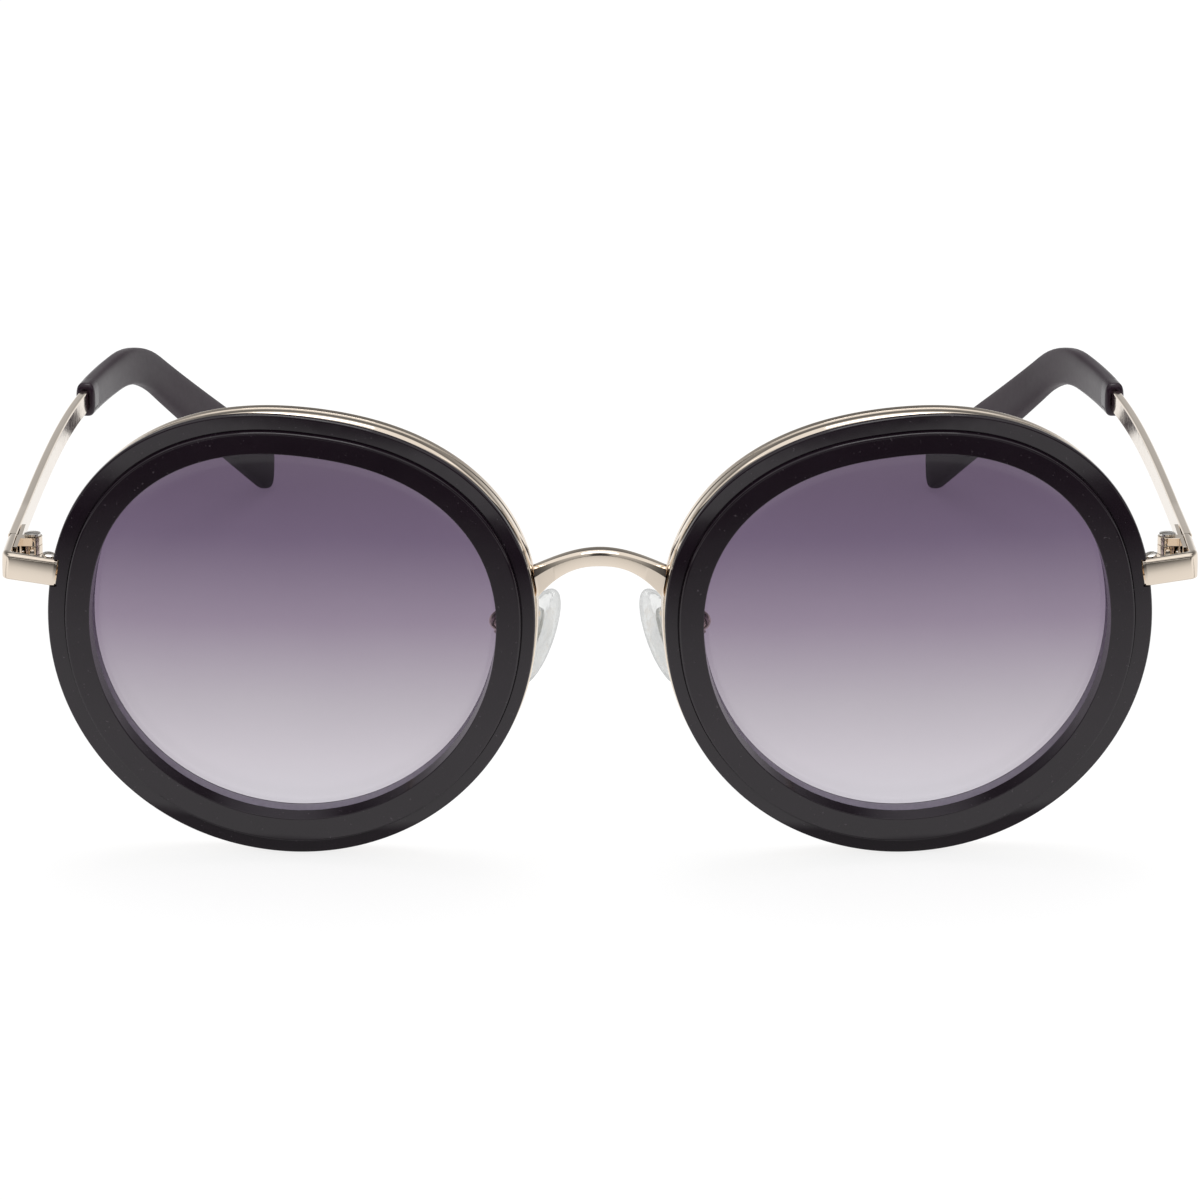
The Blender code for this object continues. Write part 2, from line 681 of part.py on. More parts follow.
def temple_bar(side, name, temple, material):
    """The bar in the open, then a thinner core inside the tip."""
    loops = []
    start = HINGE_BEFORE_SEAM
    shoulder = TIP_START_RUN - SEAT_GAP
    stop = TEMPLE_LENGTH - CORE_END_MARGIN
    for step in range(BAR_STATIONS + 1):
        run = start + (shoulder - start) * step / BAR_STATIONS
        share = min((run - start) / TEMPLE_TAPER_LENGTH, 1)
        height = END_HEIGHT + (TEMPLE_HEIGHT - END_HEIGHT) * share
        loops.append(temple_loop(side, run, TEMPLE_THICKNESS, height, BAR_SIDES, BAR_CORNER_POWER))
    for step in range(BAR_STATIONS + 1):
        run = shoulder + (stop - shoulder) * step / BAR_STATIONS
        loops.append(temple_loop(side, run, CORE_THICKNESS, CORE_HEIGHT, BAR_SIDES, BAR_CORNER_POWER))
    return solid(f"temple_bar_{name}", loft(loops), temple, material)


def tip_height(run):
    """The tip deepens to its bend, and again from there to its end."""
    bend = TEMPLE_BEND_RUN + TEMPLE_BEND_RADIUS * TEMPLE_DROP / 2
    if run < bend:
        share = (run - TIP_START_RUN) / (bend - TIP_START_RUN)
        return TIP_FRONT_HEIGHT + (TIP_BEND_HEIGHT - TIP_FRONT_HEIGHT) * share
    share = (run - bend) / (TEMPLE_LENGTH - bend)
    return TIP_BEND_HEIGHT + (TIP_END_HEIGHT - TIP_BEND_HEIGHT) * share


def temple_tip(side, name, temple, material):
    """A sleeve, closed at its far end: up the inside of the bore, then along the outside."""
    loops = []
    bore_end = TEMPLE_LENGTH - CORE_END_MARGIN + SEAT_GAP
    bore_thickness = CORE_THICKNESS + 2 * FIT_GAP
    bore_height = CORE_HEIGHT + 2 * FIT_GAP
    for step in reversed(range(BAR_STATIONS + 1)):
        run = TIP_START_RUN + (bore_end - TIP_START_RUN) * step / BAR_STATIONS
        loops.append(temple_loop(side, run, bore_thickness, bore_height, TIP_SIDES, BAR_CORNER_POWER))
    round_start = TEMPLE_LENGTH - TIP_ROUND_LENGTH
    for step in range(TIP_STATIONS + 1):
        run = TIP_START_RUN + (round_start - TIP_START_RUN) * step / TIP_STATIONS
        loops.append(temple_loop(side, run, TIP_THICKNESS, tip_height(run), TIP_SIDES, TIP_CORNER_POWER))
    for step in range(1, TIP_ROUND_STEPS + 1):
        turn = TIP_ROUND_TURN * step / TIP_ROUND_STEPS
        run = round_start + TIP_ROUND_LENGTH * math.sin(turn)
        inset = TIP_ROUND_LENGTH * (1 - math.cos(turn))
        thickness = TIP_THICKNESS * math.sqrt(math.cos(turn))
        loops.append(temple_loop(side, run, thickness, tip_height(run) - inset, TIP_SIDES, TIP_CORNER_POWER))
    return solid(f"temple_tip_{name}", loft(loops), temple, material)


# Bridge

def bridge(front, material):
    """Loops across the bar from eyewire to eyewire, each end cut to the eyewire's curve."""
    end_bottom = BRIDGE_END_TOP - BRIDGE_END_HEIGHT
    seats = []
    for height in (BRIDGE_END_TOP, end_bottom):
        point = rim_point(1, angle_at(height, BAND_WIDTH, nasal=True), BAND_WIDTH, EYEWIRE_FRONT)
        seats.append(eye_matrix(1) @ point)
    reaches = [seat.x - 2 * SEAT_GAP for seat in seats]
    front_y = seats[0].y
    back_y = front_y + BRIDGE_DEPTH
    edge = BRIDGE_EDGE_SHARE * BRIDGE_MIDDLE_HEIGHT
    under_middle = BRIDGE_TOP - BRIDGE_MIDDLE_HEIGHT
    loops = []
    for step in range(BRIDGE_STATIONS):
        share = 2 * step / (BRIDGE_STATIONS - 1) - 1
        top = BRIDGE_END_TOP + (BRIDGE_TOP - BRIDGE_END_TOP) * math.cos(share * math.pi / 2)
        under = under_middle - (under_middle - end_bottom) * abs(share) ** BRIDGE_UNDER_POWER
        top_x = share * reaches[0]
        under_x = share * reaches[1]
        loops.append([
            Vector((top_x, front_y + edge, top)),
            Vector((top_x, back_y - edge, top)),
            Vector((top_x, back_y, top - edge)),
            Vector((under_x, back_y, under + edge)),
            Vector((under_x, back_y - edge, under)),
            Vector((under_x, front_y + edge, under)),
            Vector((under_x, front_y, under + edge)),
            Vector((top_x, front_y, top - edge)),
        ])
    return solid("bridge", loft(loops), front, material)


# Nose pads

def pad_matrix(side):
    """On the pad screw's centre: Y along the screw, Z up the pad, X away from or to the nose."""
    place = Matrix.Translation((side * PAD_SCREW_SPACING / 2, PAD_SETBACK, -PAD_DROP))
    return place @ Matrix.Rotation(-side * PAD_TURN, 4, "Z") @ Matrix.Rotation(-side * PAD_SPLAY, 4, "Y")


def drop_loop(x, width, height):
    """A drop shape, wider below, seen along X."""
    points = []
    for step in range(PAD_STEPS):
        angle = FULL_TURN * step / PAD_STEPS
        z = math.sin(angle)
        y = math.cos(angle) * (1 - PAD_TAPER_SHARE * z)
        points.append(Vector((x, y * width / 2, z * height / 2)))
    return points


def nose_pad(side, name, pad, material):
    """Soft pad: a domed face to the nose and a pocket behind for the core."""
    to_nose = -side
    back = PAD_STANDOFF
    pocket = back + PAD_CORE_THICKNESS + FIT_GAP
    pocket_width = PAD_CORE_WIDTH + 2 * FIT_GAP
    pocket_height = PAD_CORE_HEIGHT + 2 * FIT_GAP
    loops = [
        drop_loop(to_nose * pocket, pocket_width, pocket_height),
        drop_loop(to_nose * back, pocket_width, pocket_height),
    ]
    for deep_share, wide_share in PAD_PROFILE_SHARES:
        x = back + PAD_THICKNESS * deep_share
        loops.append(drop_loop(to_nose * x, PAD_WIDTH * wide_share, PAD_HEIGHT * wide_share))
    return solid(f"nose_pad_{name}", loft(loops), pad, material)


def pad_core(side, name, pad, material):
    """A stiff plate in the pad's pocket with a boss for the screw."""
    to_nose = -side
    near = PAD_STANDOFF
    far = PAD_STANDOFF + PAD_CORE_THICKNESS
    plate = loft([drop_loop(to_nose * x, PAD_CORE_WIDTH, PAD_CORE_HEIGHT) for x in (near, far)])
    obj = solid(f"pad_core_{name}", plate, pad, material)
    root = near + PAD_CORE_THICKNESS / 2
    corners = [(to_nose * root, -PAD_BOSS_RADIUS)]
    corners += [(to_nose * x, y) for x, y in arc(PAD_BOSS_RADIUS, -math.pi / 2, -math.pi * 1.5, KNUCKLE_STEPS)]
    corners += [(to_nose * root, PAD_BOSS_RADIUS)]
    boss = prism(corners, -PAD_BOSS_THICKNESS / 2, PAD_BOSS_THICKNESS / 2)
    lying = Matrix.Rotation(math.pi / 2, 4, "X")
    combine(obj, helper(f"pad_boss_{name}", boss, pad, lying), "UNION")
    combine(obj, pad_bore(f"pad_core_bore_{name}", pad), "DIFFERENCE")
    return obj


def pad_bore(name, parent, matrix=Matrix()):
    reach = PAD_BOSS_THICKNESS / 2 + PAD_BOX_WALL + CUT_OVERRUN
    radius = PAD_SCREW_RADIUS + PIN_GAP
    lying = Matrix.Rotation(math.pi / 2, 4, "X")
    return helper(name, lathe([(radius, -reach), (radius, reach)]), parent, matrix @ lying)


def pad_box(side, name, front, material):
    """A U-shaped box whose cheeks hold the core's boss."""
    inner = PAD_BOSS_THICKNESS / 2 + SEAT_GAP
    outer = inner + PAD_BOX_WALL
    tip = -PAD_BOSS_RADIUS
    base = PAD_BOX_BACK
    back = base + PAD_BOX_WALL
    corners = [(tip, -outer), (back, -outer), (back, outer), (tip, outer)]
    corners += [(tip, inner), (base, inner), (base, -inner), (tip, -inner)]
    corners = [(side * x, y) for x, y in corners]
    shape = prism(corners, -PAD_BOX_HALF_HEIGHT, PAD_BOX_HALF_HEIGHT)
    obj = solid(f"pad_box_{name}", shape, front, material, pad_matrix(side))
    combine(obj, pad_bore(f"pad_box_bore_{name}", front, pad_matrix(side)), "DIFFERENCE")
    return obj


def pad_screw(side, name, front, material):
    seat = PAD_BOSS_THICKNESS / 2 + PAD_BOX_WALL + 2 * SEAT_GAP
    lying = Matrix.Rotation(-math.pi / 2, 4, "X")
    matrix = pad_matrix(side) @ lying @ Matrix.Translation((0, 0, seat))
    screw(f"pad_screw_{name}", front, matrix, material,
          PAD_SCREW_RADIUS, 2 * seat, PAD_HEAD_RADIUS, PAD_HEAD_HEIGHT)


def pad_arm(side, name, front, material):
    """Round wire along a Bezier curve that leaves the rim backwards and enters the box from outside."""
    grow = (EYEWIRE_INNER + BAND_WIDTH) / 2
    depth = EYEWIRE_BACK + SEAT_GAP
    start = eye_matrix(side) @ rim_point(side, angle_at(ARM_RISE, grow, nasal=True), grow, depth)
    away = pad_matrix(side).to_3x3() @ Vector((side, 0, 0))
    stop = pad_matrix(side) @ Vector((side * (PAD_BOX_BACK + PAD_BOX_WALL + SEAT_GAP), 0, 0))
    first = start + Vector((0, ARM_LEAD_BACK, 0))
    second = stop + away * ARM_LEAD_OUT
    loops = []
    for step in range(ARM_POINTS):
        share = step / (ARM_POINTS - 1)
        rest = 1 - share
        point = start * rest ** 3 + first * 3 * rest ** 2 * share
        point += second * 3 * rest * share ** 2 + stop * share ** 3
        along = (first - start) * rest ** 2 + (second - first) * 2 * rest * share + (stop - second) * share ** 2
        along.normalize()
        across = along.cross(Vector((0, 0, 1))).normalized()
        up = across.cross(along)
        loops.append(section(point, across * ARM_RADIUS, up * ARM_RADIUS, ARM_SIDES, 2))
    return solid(f"pad_arm_{name}", loft(loops), front, material)


# Standing up

def mesh_points(objects, from_root):
    """Corners of the finished pieces in the worn frame."""
    graph = bpy.context.evaluated_depsgraph_get()
    points = []
    for obj in objects:
        evaluated = obj.evaluated_get(graph)
        place = from_root @ evaluated.matrix_world
        points += [place @ vertex.co for vertex in evaluated.to_mesh().vertices]
        evaluated.to_mesh_clear()
    return points


def stand(root, pieces):
    """Turns and shifts the whole so that rings and tips rest on z = 0 and its box is centred."""
    bpy.context.view_layer.update()
    tips = [obj for obj in pieces if obj.name.startswith("temple_tip")]
    rings = [obj for obj in pieces if obj.name.startswith("acetate_ring")]
    back = root.matrix_world.inverted()
    tip_points = mesh_points(tips, back)
    ring_points = mesh_points(rings, back)
    lean = 0
    for _ in range(LEAN_STEPS):
        turn = Matrix.Rotation(lean, 4, "X")
        tip = min((turn @ point for point in tip_points), key=lambda point: point.z)
        ring = min((turn @ point for point in ring_points), key=lambda point: point.z)
        lean -= math.atan2(tip.z - ring.z, tip.y - ring.y)
    turn = Matrix.Rotation(lean, 4, "X")
    placed = [turn @ point for point in mesh_points(pieces, back)]
    lows = [min(point[axis] for point in placed) for axis in range(3)]
    highs = [max(point[axis] for point in placed) for axis in range(3)]
    shift = Vector((-(lows[0] + highs[0]) / 2, -(lows[1] + highs[1]) / 2, -lows[2]))
    root.matrix_basis = Matrix.Translation(shift) @ turn
    bpy.context.view_layer.update()


def main():
    for obj in list(bpy.data.objects):
        bpy.data.objects.remove(obj, do_unlink=True)

    steel = finish("steel", "#c9c4bd", 0.30, 1.0)
    gold = finish("pale_gold", "#e3cfae", 0.18, 1.0)
    acetate = finish("black_acetate", "#2b2429", 0.12)
    tinted = finish("gradient_lens", "#7d6f82", 0.05, 0.0, 0.75)
    silicone = finish("clear_silicone", "#e6e8ea", 0.25, 0.0, 0.5)
    clear = finish("clear_plastic", "#f0f0ee", 0.15, 0.0, 0.6)

    root = empty("sunglasses", None, Matrix())
    front = empty("front", root, front_matrix())
    bridge(front, gold)
    for name, side in SIDES:
        eye = empty(f"eye_{name}", front, eye_matrix(side))
        acetate_ring(side, name, eye, acetate)
        lens(side, name, eye, tinted)
        eyewire(side, name, eye, gold)
        rim_lock(side, name, eye, gold, steel)
        end_piece(side, name, root, gold)

        hinge_place = Matrix.Translation(hinge_point(side))
        hinge = empty(f"hinge_{name}", root, hinge_place)
        hinge_front(side, name, hinge, gold)
        seat = Matrix.Translation((0, 0, KNUCKLE_STACK / 2 + SEAT_GAP))
        screw(f"hinge_screw_{name}", hinge, seat, steel,
              HINGE_SCREW_RADIUS, KNUCKLE_STACK + SEAT_GAP, HINGE_HEAD_RADIUS, HINGE_HEAD_HEIGHT)

        temple = empty(f"temple_{name}", root, hinge_place)
        hinge_temple(side, name, temple, gold)
        temple_bar(side, name, temple, gold)
        temple_tip(side, name, temple, acetate)

        pad_arm(side, name, front, gold)
        pad_box(side, name, front, gold)
        pad_screw(side, name, front, steel)
        pad = empty(f"pad_{name}", front, pad_matrix(side))
        pad_core(side, name, pad, clear)
        nose_pad(side, name, pad, silicone)

    pieces = [obj for obj in bpy.data.objects if obj.type == "MESH" and not obj.hide_render]
    stand(root, pieces)


if __name__ == "__main__":
    main()
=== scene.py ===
"""Looks of the round sunglasses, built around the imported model.

Each operator makes one kind of piece in the model's own frame, in metres, and the last one sets the stage.
The glasses stand open: +X is the wearer's left, -Y the way the wearer faces, and +Z is up.
"""

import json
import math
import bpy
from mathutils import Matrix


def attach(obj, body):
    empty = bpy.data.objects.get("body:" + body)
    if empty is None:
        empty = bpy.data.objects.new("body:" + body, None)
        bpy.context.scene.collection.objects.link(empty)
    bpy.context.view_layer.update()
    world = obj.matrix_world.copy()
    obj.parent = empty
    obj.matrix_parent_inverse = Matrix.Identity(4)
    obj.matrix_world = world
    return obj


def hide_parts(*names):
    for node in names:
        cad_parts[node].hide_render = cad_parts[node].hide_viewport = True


bl_info = {
    "name": "Round sunglasses",
    "version": (1, 0, 0),
    "blender": (4, 5, 0),
    "location": "3D View > Sidebar > Sunglasses",
    "description": "Builds the visible pieces of round sunglasses on their packed model",
    "category": "Object",
}

import bmesh
import bpy
from mathutils import Matrix, Vector

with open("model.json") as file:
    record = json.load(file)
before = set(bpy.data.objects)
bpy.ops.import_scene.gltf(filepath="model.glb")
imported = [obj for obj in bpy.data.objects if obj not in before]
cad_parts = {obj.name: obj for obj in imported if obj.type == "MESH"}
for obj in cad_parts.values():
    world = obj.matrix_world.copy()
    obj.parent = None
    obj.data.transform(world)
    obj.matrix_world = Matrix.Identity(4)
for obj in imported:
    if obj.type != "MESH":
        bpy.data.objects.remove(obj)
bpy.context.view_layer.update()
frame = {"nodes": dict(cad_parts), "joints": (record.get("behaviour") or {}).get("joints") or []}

MM = 0.001
FLOOR_GAP = 0.15 * MM
FULL_TURN = math.tau
SIDES = (("left", 1), ("right", -1))
SHARP_ANGLE = math.radians(32)
BREAK_ANGLE = math.radians(35)
FLAT_ANGLE = math.radians(1)
MERGE_DISTANCE = 0.001 * MM
CAMERA_TARGET = Vector((0, -0.07126, 0.03432))
LENS_INDEX = 1.5
ACETATE_INDEX = 1.48
SILICONE_INDEX = 1.41
POLYCARBONATE_INDEX = 1.58

# Sizes that the part's source gives, in metres: opening of a ring
OPENING_HALF_WIDTH = 0.0245
OPENING_UP = 0.0227
OPENING_DOWN = 0.0262
UPPER_POWER = 2.27
LOWER_POWER = 2.03
OPENING_ROLL = math.radians(7)
BAND_DROP_SHARE = 0.06
TEMPLE_SIDE_ARC = (math.radians(-72), math.radians(72))
NOSE_SIDE_ARC = (math.radians(252), math.radians(108))
SEARCH_STEPS = 50

# How the front is set
EYE_DISTANCE = 0.0744
WRAP = math.radians(3.5)
PANTOSCOPIC_TILT = math.radians(9.8)
SEAT_GAP = 0.0001
FIT_GAP = 0.00008

# Acetate ring, lens and eyewire
RAISED_WIDTH = 0.0031
LIP_WIDTH = 0.0019
STEP_DEPTH = 0.0007
LIP_THICKNESS = 0.0010
RING_DEPTH = 0.0046
INSERT_RIDGE = 0.0004
NOTCH_DEPTH = 0.0006
NOTCH_SIDE_GAP = 0.0001
LENS_RECESS = 0.0021
LENS_THICKNESS = 0.0016
LENS_BULGE = 0.0011
LENS_GROOVE = 0.0007
EYEWIRE_WALL = 0.0012
EYEWIRE_DEPTH = 0.0029
EYEWIRE_LINE_SHARE = 0.56
RIM_SPLIT = 0.0003
BAND_WIDTH = RAISED_WIDTH + LIP_WIDTH
LIP_BACK = STEP_DEPTH + LIP_THICKNESS
EYEWIRE_FRONT = LIP_BACK + SEAT_GAP
EYEWIRE_BACK = EYEWIRE_FRONT + EYEWIRE_DEPTH
EYEWIRE_INNER = BAND_WIDTH - EYEWIRE_WALL
INSERT_OUTER = EYEWIRE_INNER - FIT_GAP
RIDGE_DEPTH = (LIP_BACK + RING_DEPTH) / 2

# End piece, rim lock and hinge
END_RISE = 0.0060
END_HEIGHT = 0.0034
END_THICKNESS = 0.0012
END_TONGUE_THICKNESS = 0.0008
END_REACH = 0.0065
END_SWEEP = math.radians(29)
END_CORNER_RADIUS = 0.0013
END_RETURN = 0.0080
TONGUE_FRONT = STEP_DEPTH + 0.0002
TONGUE_GAP = 0.0003
LOCK_WIDTH = 0.0018
LOCK_HEIGHT = 0.0010
LOCK_DROP = 0.0006
LOCK_SCREW_RADIUS = 0.00045
LOCK_HEAD_RADIUS = 0.00075
LOCK_HEAD_HEIGHT = 0.0004
LOCK_FRONT = TONGUE_FRONT + END_THICKNESS + LOCK_WIDTH * math.tan(END_SWEEP - WRAP) + SEAT_GAP
HINGE_STANDOFF = 0.0020
HINGE_BEFORE_SEAM = 0.0007
KNUCKLE_STACK = 0.0032
HINGE_SCREW_RADIUS = 0.00055
HINGE_HEAD_RADIUS = 0.0010
HINGE_HEAD_HEIGHT = 0.00035
HEAD_CROWN_SHARE = 0.3

# Temple and its tip
TEMPLE_THICKNESS = 0.0011
TEMPLE_HEIGHT = 0.0029
TEMPLE_TAPER_LENGTH = 0.014
TEMPLE_LENGTH = 0.1430
TEMPLE_BEND_RUN = 0.0870
TEMPLE_BEND_RADIUS = 0.0252
TEMPLE_DROP = math.radians(33.3)
TEMPLE_INWARD_RUN = 0.0823
TEMPLE_INWARD_TURN = math.radians(23.7)
TEMPLE_INWARD_SOFTNESS = 0.0254
CORE_THICKNESS = 0.0009
CORE_HEIGHT = 0.0017
CORE_LENGTH = 0.012
TIP_START_RUN = 0.0714
TIP_THICKNESS = 0.0026
TIP_FRONT_HEIGHT = 0.0046
TIP_BEND_HEIGHT = 0.0051
TIP_END_HEIGHT = 0.0080
TIP_ROUND_LENGTH = 0.0032
TIP_CORNER_POWER = 3.2
TIP_BORE_DEPTH = 0.003
TIP_DOME_TURN = math.radians(84)

# Bridge
BRIDGE_TOP = 0.0101
BRIDGE_MIDDLE_HEIGHT = 0.0020
BRIDGE_END_TOP = 0.0077
BRIDGE_END_HEIGHT = 0.0037
BRIDGE_DEPTH = 0.0017
BRIDGE_UNDER_POWER = 2.4
ROOF_SLOPE = math.radians(16)
FACET_SLOPE = math.radians(58)
FACET_POWER = 4

# Nose pads and their arms
PAD_SCREW_SPACING = 0.0216
PAD_SETBACK = 0.0078
PAD_DROP = 0.0045
PAD_TURN = math.radians(28)
PAD_SPLAY = math.radians(31)
PAD_HEIGHT = 0.0140
PAD_WIDTH = 0.0080
PAD_THICKNESS = 0.0026
PAD_STANDOFF = 0.0019
PAD_TAPER_SHARE = 0.22
# How deep through the pad, and how wide the pad is there, from its back to its face
PAD_PROFILE_SHARES = (
    (0, 0.76), (0.06, 0.88), (0.22, 0.97), (0.42, 1), (0.64, 0.96), (0.84, 0.82), (0.97, 0.55), (1, 0.3),
    (1, 0.1),
)
PAD_CORE_HEIGHT = 0.0082
PAD_CORE_WIDTH = 0.0044
PAD_CORE_THICKNESS = 0.0007
PAD_BOSS_THICKNESS = 0.0010
PAD_SCREW_RADIUS = 0.0004
PAD_HEAD_RADIUS = 0.0007
PAD_HEAD_HEIGHT = 0.0004
PAD_BOX_WALL = 0.0005
PAD_BOX_BACK = 0.0011
ARM_RADIUS = 0.0005
ARM_RISE = 0.0005
ARM_LEAD_BACK = 0.0050
ARM_LEAD_OUT = 0.0050
ARM_FOOT_FLARE = 0.5
ARM_FOOT_REACH = 0.35 * MM

# How finely the visible pieces are drawn
RIM_STEPS = 240
ARC_STEPS = 4
LENS_ROWS = 12
BAR_STATIONS = 60
TIP_STATIONS = 44
TIP_SIDES = 40
BRIDGE_STATIONS = 61
PAD_STEPS = 28
ARM_POINTS = 40
ARM_SIDES = 16
SCREW_SIDES = 40


# Colours and settings

def hex_colour(code):
    """An sRGB hex colour as linear red, green, blue and alpha."""
    channels = [int(code[start:start + 2], 16) / 255 for start in (1, 3, 5)]
    return (*[((v + 0.055) / 1.055) ** 2.4 if v > 0.04045 else v / 12.92 for v in channels], 1)


def colour_property(name, description, code):
    return bpy.props.FloatVectorProperty(
        name=name, description=description, subtype="COLOR", size=4, min=0, max=1, default=hex_colour(code))


def length_property(name, description, metres):
    return bpy.props.FloatProperty(
        name=name, description=description, subtype="DISTANCE", unit="LENGTH", precision=5, min=0,
        default=metres)


class RimSettings(bpy.types.PropertyGroup):
    """Acetate rings and the metal rims around them"""
    inner_edge: length_property("Inner edge", "Rounding of the raised band's inner edge", 0.00011)
    outer_edge: length_property("Outer edge", "Rounding of the raised band's outer edge", 0.00030)
    draft: length_property("Draft", "How much wider the opening is at its front than at the lens", 0.00014)
    rear_flare: length_property(
        "Rear flare", "How much wider the opening is at its back than at the lens", 0.00055)
    groove_width: length_property("Groove width", "Width of the line between raised band and lip", 0.00010)
    groove_depth: length_property("Groove depth", "Depth of the line between raised band and lip", 0.00014)
    lip_fall: length_property("Lip fall", "How far the lip slopes back to its outer edge", 0.00032)
    lip_edge: length_property("Lip edge", "Rounding of the lip's outer edge", 0.00028)
    overhang: length_property("Overhang", "How far the lip stands out over the metal rim", 0.00012)
    side_overhang: length_property("Side overhang", "How much more it does so towards the temple", 0.00028)
    bead_radius: length_property("Bead radius", "Rounding of the metal rim's front shoulder", 0.00075)
    thinning: length_property(
        "Thinning", "How much thinner the metal rim is at its upper outer quarter", 0.00032)
    line_width: length_property("Line width", "Width of the line turned into the metal rim", 0.00036)
    line_depth: length_property("Line depth", "Depth of the line turned into the metal rim", 0.00026)
    acetate: colour_property("Acetate", "Ground colour of the polished acetate", "#190f18")
    acetate_mottle: colour_property("Acetate mottle", "Lighter colour in the acetate sheet", "#231822")
    speck: colour_property("Speck", "Colour of the fine specks in the acetate", "#4b444a")


class LensSettings(bpy.types.PropertyGroup):
    """Tint of the lenses, as seen against white"""
    top: colour_property("Top tint", "Tint at the top of the lens", "#625368")
    upper: colour_property("Upper tint", "Tint a fifth of the way down", "#72637a")
    middle: colour_property("Middle tint", "Tint just above the middle", "#908295")
    lower: colour_property("Lower tint", "Tint two thirds of the way down", "#b5aeb7")
    near_bottom: colour_property("Tint near the bottom", "Tint a sixth of the way up", "#c9c3cb")
    bottom: colour_property("Bottom tint", "Tint at the bottom of the lens", "#d4d1d8")
    edge: colour_property("Edge", "Colour of the ground edge of the lens", "#d2cdd7")
    edge_shade: colour_property("Edge shade", "Where the ground edge is darker", "#bab4c0")


class MetalSettings(bpy.types.PropertyGroup):
    """Plated metal of the bridge, rims, end pieces and temples"""
    plating: colour_property("Plating", "Colour of the pale gold plating", "#eee2d3")
    plating_shade: colour_property("Plating shade", "Where the plating is a little thinner", "#e5d6c5")
    screw_steel: colour_property("Screw steel", "Colour of the screws", "#e6e3df")
    screw_shade: colour_property("Screw shade", "Where the screws are a little tarnished", "#d2cec8")
    edge_radius: length_property("Edge radius", "Rounding along flat bars", 0.00026)
    shoulder_radius: length_property("Shoulder radius", "Rounding of an end piece's top front edge", 0.00055)
    face_crown: length_property("Face crown", "How far an end piece's face swells between its edges", 0.00008)
    face_lean: length_property(
        "Face lean", "How far back the lower edge of the bridge's face stands", 0.00016)
    roof_depth: length_property("Roof depth", "Depth of the gentle slope along the bridge's top", 0.00050)
    facet_middle: length_property(
        "Facet at middle", "Height of the bridge's steep facet at its middle", 0.00030)
    facet_end: length_property("Facet at ends", "Height of the bridge's steep facet at its ends", 0.00085)
    small_edge: length_property("Small edge", "Edge break on hinges, locks and pad boxes", 0.00008)
    slot_width: length_property("Slot width", "Width of the screwdriver slots", 0.00026)
    slot_depth: length_property("Slot depth", "Depth of the screwdriver slots", 0.00020)


class TipSettings(bpy.types.PropertyGroup):
    """Sleeves at the ends of the temples"""
    acetate: colour_property("Acetate", "Ground colour of the sleeves", "#271b25")
    acetate_mottle: colour_property("Acetate mottle", "Lighter clouds in the sleeves", "#352731")
    front_radius: length_property("Front radius", "Rounding of the sleeve's front end", 0.0007)
    gloss_length: length_property("Gloss length", "How far the polish of the front end reaches", 0.0029)


class PadSettings(bpy.types.PropertyGroup):
    """Nose pads"""
    silicone: colour_property("Silicone", "Colour of the soft pads", "#fdfdfd")
    silicone_cloud: colour_property("Silicone cloud", "Where the soft pads are a little milky", "#f8f9f8")
    # The greys at the outlines are painted shade of the clear pads' and cores' edges
    silicone_outline_shade: colour_property("Silicone edge", "Grey of the soft pads at their outline", "#c4c6c6")
    core: colour_property("Core", "Colour of the stiff cores", "#fcfcfb")
    core_streak: colour_property("Core streak", "Slightly yellower streaks in the cores", "#f7f6f1")
    core_outline_shade: colour_property("Core edge", "Grey of the stiff cores at their outline", "#b0b0ac")


class StageSettings(bpy.types.PropertyGroup):
    """Floor, light and camera"""
    floor: colour_property("Floor", "Colour of the floor", "#e6e6e6")
    floor_fibre: colour_property("Floor fibre", "Lighter clouds in the floor's paper", "#e9e9e9")
    floor_faint: colour_property(
        "Floor faint", "Colour that the lamps light on the floor seen straight", "#949494")
    floor_glow: bpy.props.FloatProperty(
        name="Floor glow", description="How much white the floor adds where it is seen straight", min=0,
        default=0.8)
    ambient: bpy.props.FloatProperty(
        name="Ambient", description="Strength of the even light from all round", min=0, default=0.55)
    softbox_power: bpy.props.FloatProperty(
        name="Softbox power", description="Power of the lamp above", subtype="POWER", min=0, default=3.2)
    fill_power: bpy.props.FloatProperty(
        name="Fill power", description="Power of each lamp at the side", subtype="POWER", min=0, default=0.9)
    camera_distance: length_property("Camera distance", "From the camera to the point it looks at", 0.7)
    camera_elevation: bpy.props.FloatProperty(
        name="Camera elevation", description="Angle of the camera above the floor", subtype="ANGLE",
        default=math.radians(19.89))
    focal_length: bpy.props.FloatProperty(
        name="Focal length", description="Focal length in millimetres on a 36 mm wide sensor", min=1,
        default=173.9)


class SunglassesSettings(bpy.types.PropertyGroup):
    """All settings of the sunglasses"""
    rims: bpy.props.PointerProperty(name="Rims", description="Rings and rims", type=RimSettings)
    lenses: bpy.props.PointerProperty(name="Lenses", description="Lenses", type=LensSettings)
    metal: bpy.props.PointerProperty(name="Metal", description="Metal pieces", type=MetalSettings)
    tips: bpy.props.PointerProperty(name="Tips", description="Temple tips", type=TipSettings)
    pads: bpy.props.PointerProperty(name="Pads", description="Nose pads", type=PadSettings)
    stage: bpy.props.PointerProperty(name="Stage", description="Floor, light and camera", type=StageSettings)


# Nodes

def add(tree, kind, sockets=None, **settings):
    """Adds a node. Sockets maps an input's name or number to its value, or to the output that feeds it."""
    node = tree.nodes.new(kind)
    for name, value in settings.items():
        setattr(node, name, value)
    for key, value in (sockets or {}).items():
        if isinstance(value, bpy.types.NodeSocket):
            tree.links.new(value, node.inputs[key])
        else:
            node.inputs[key].default_value = value
    return node


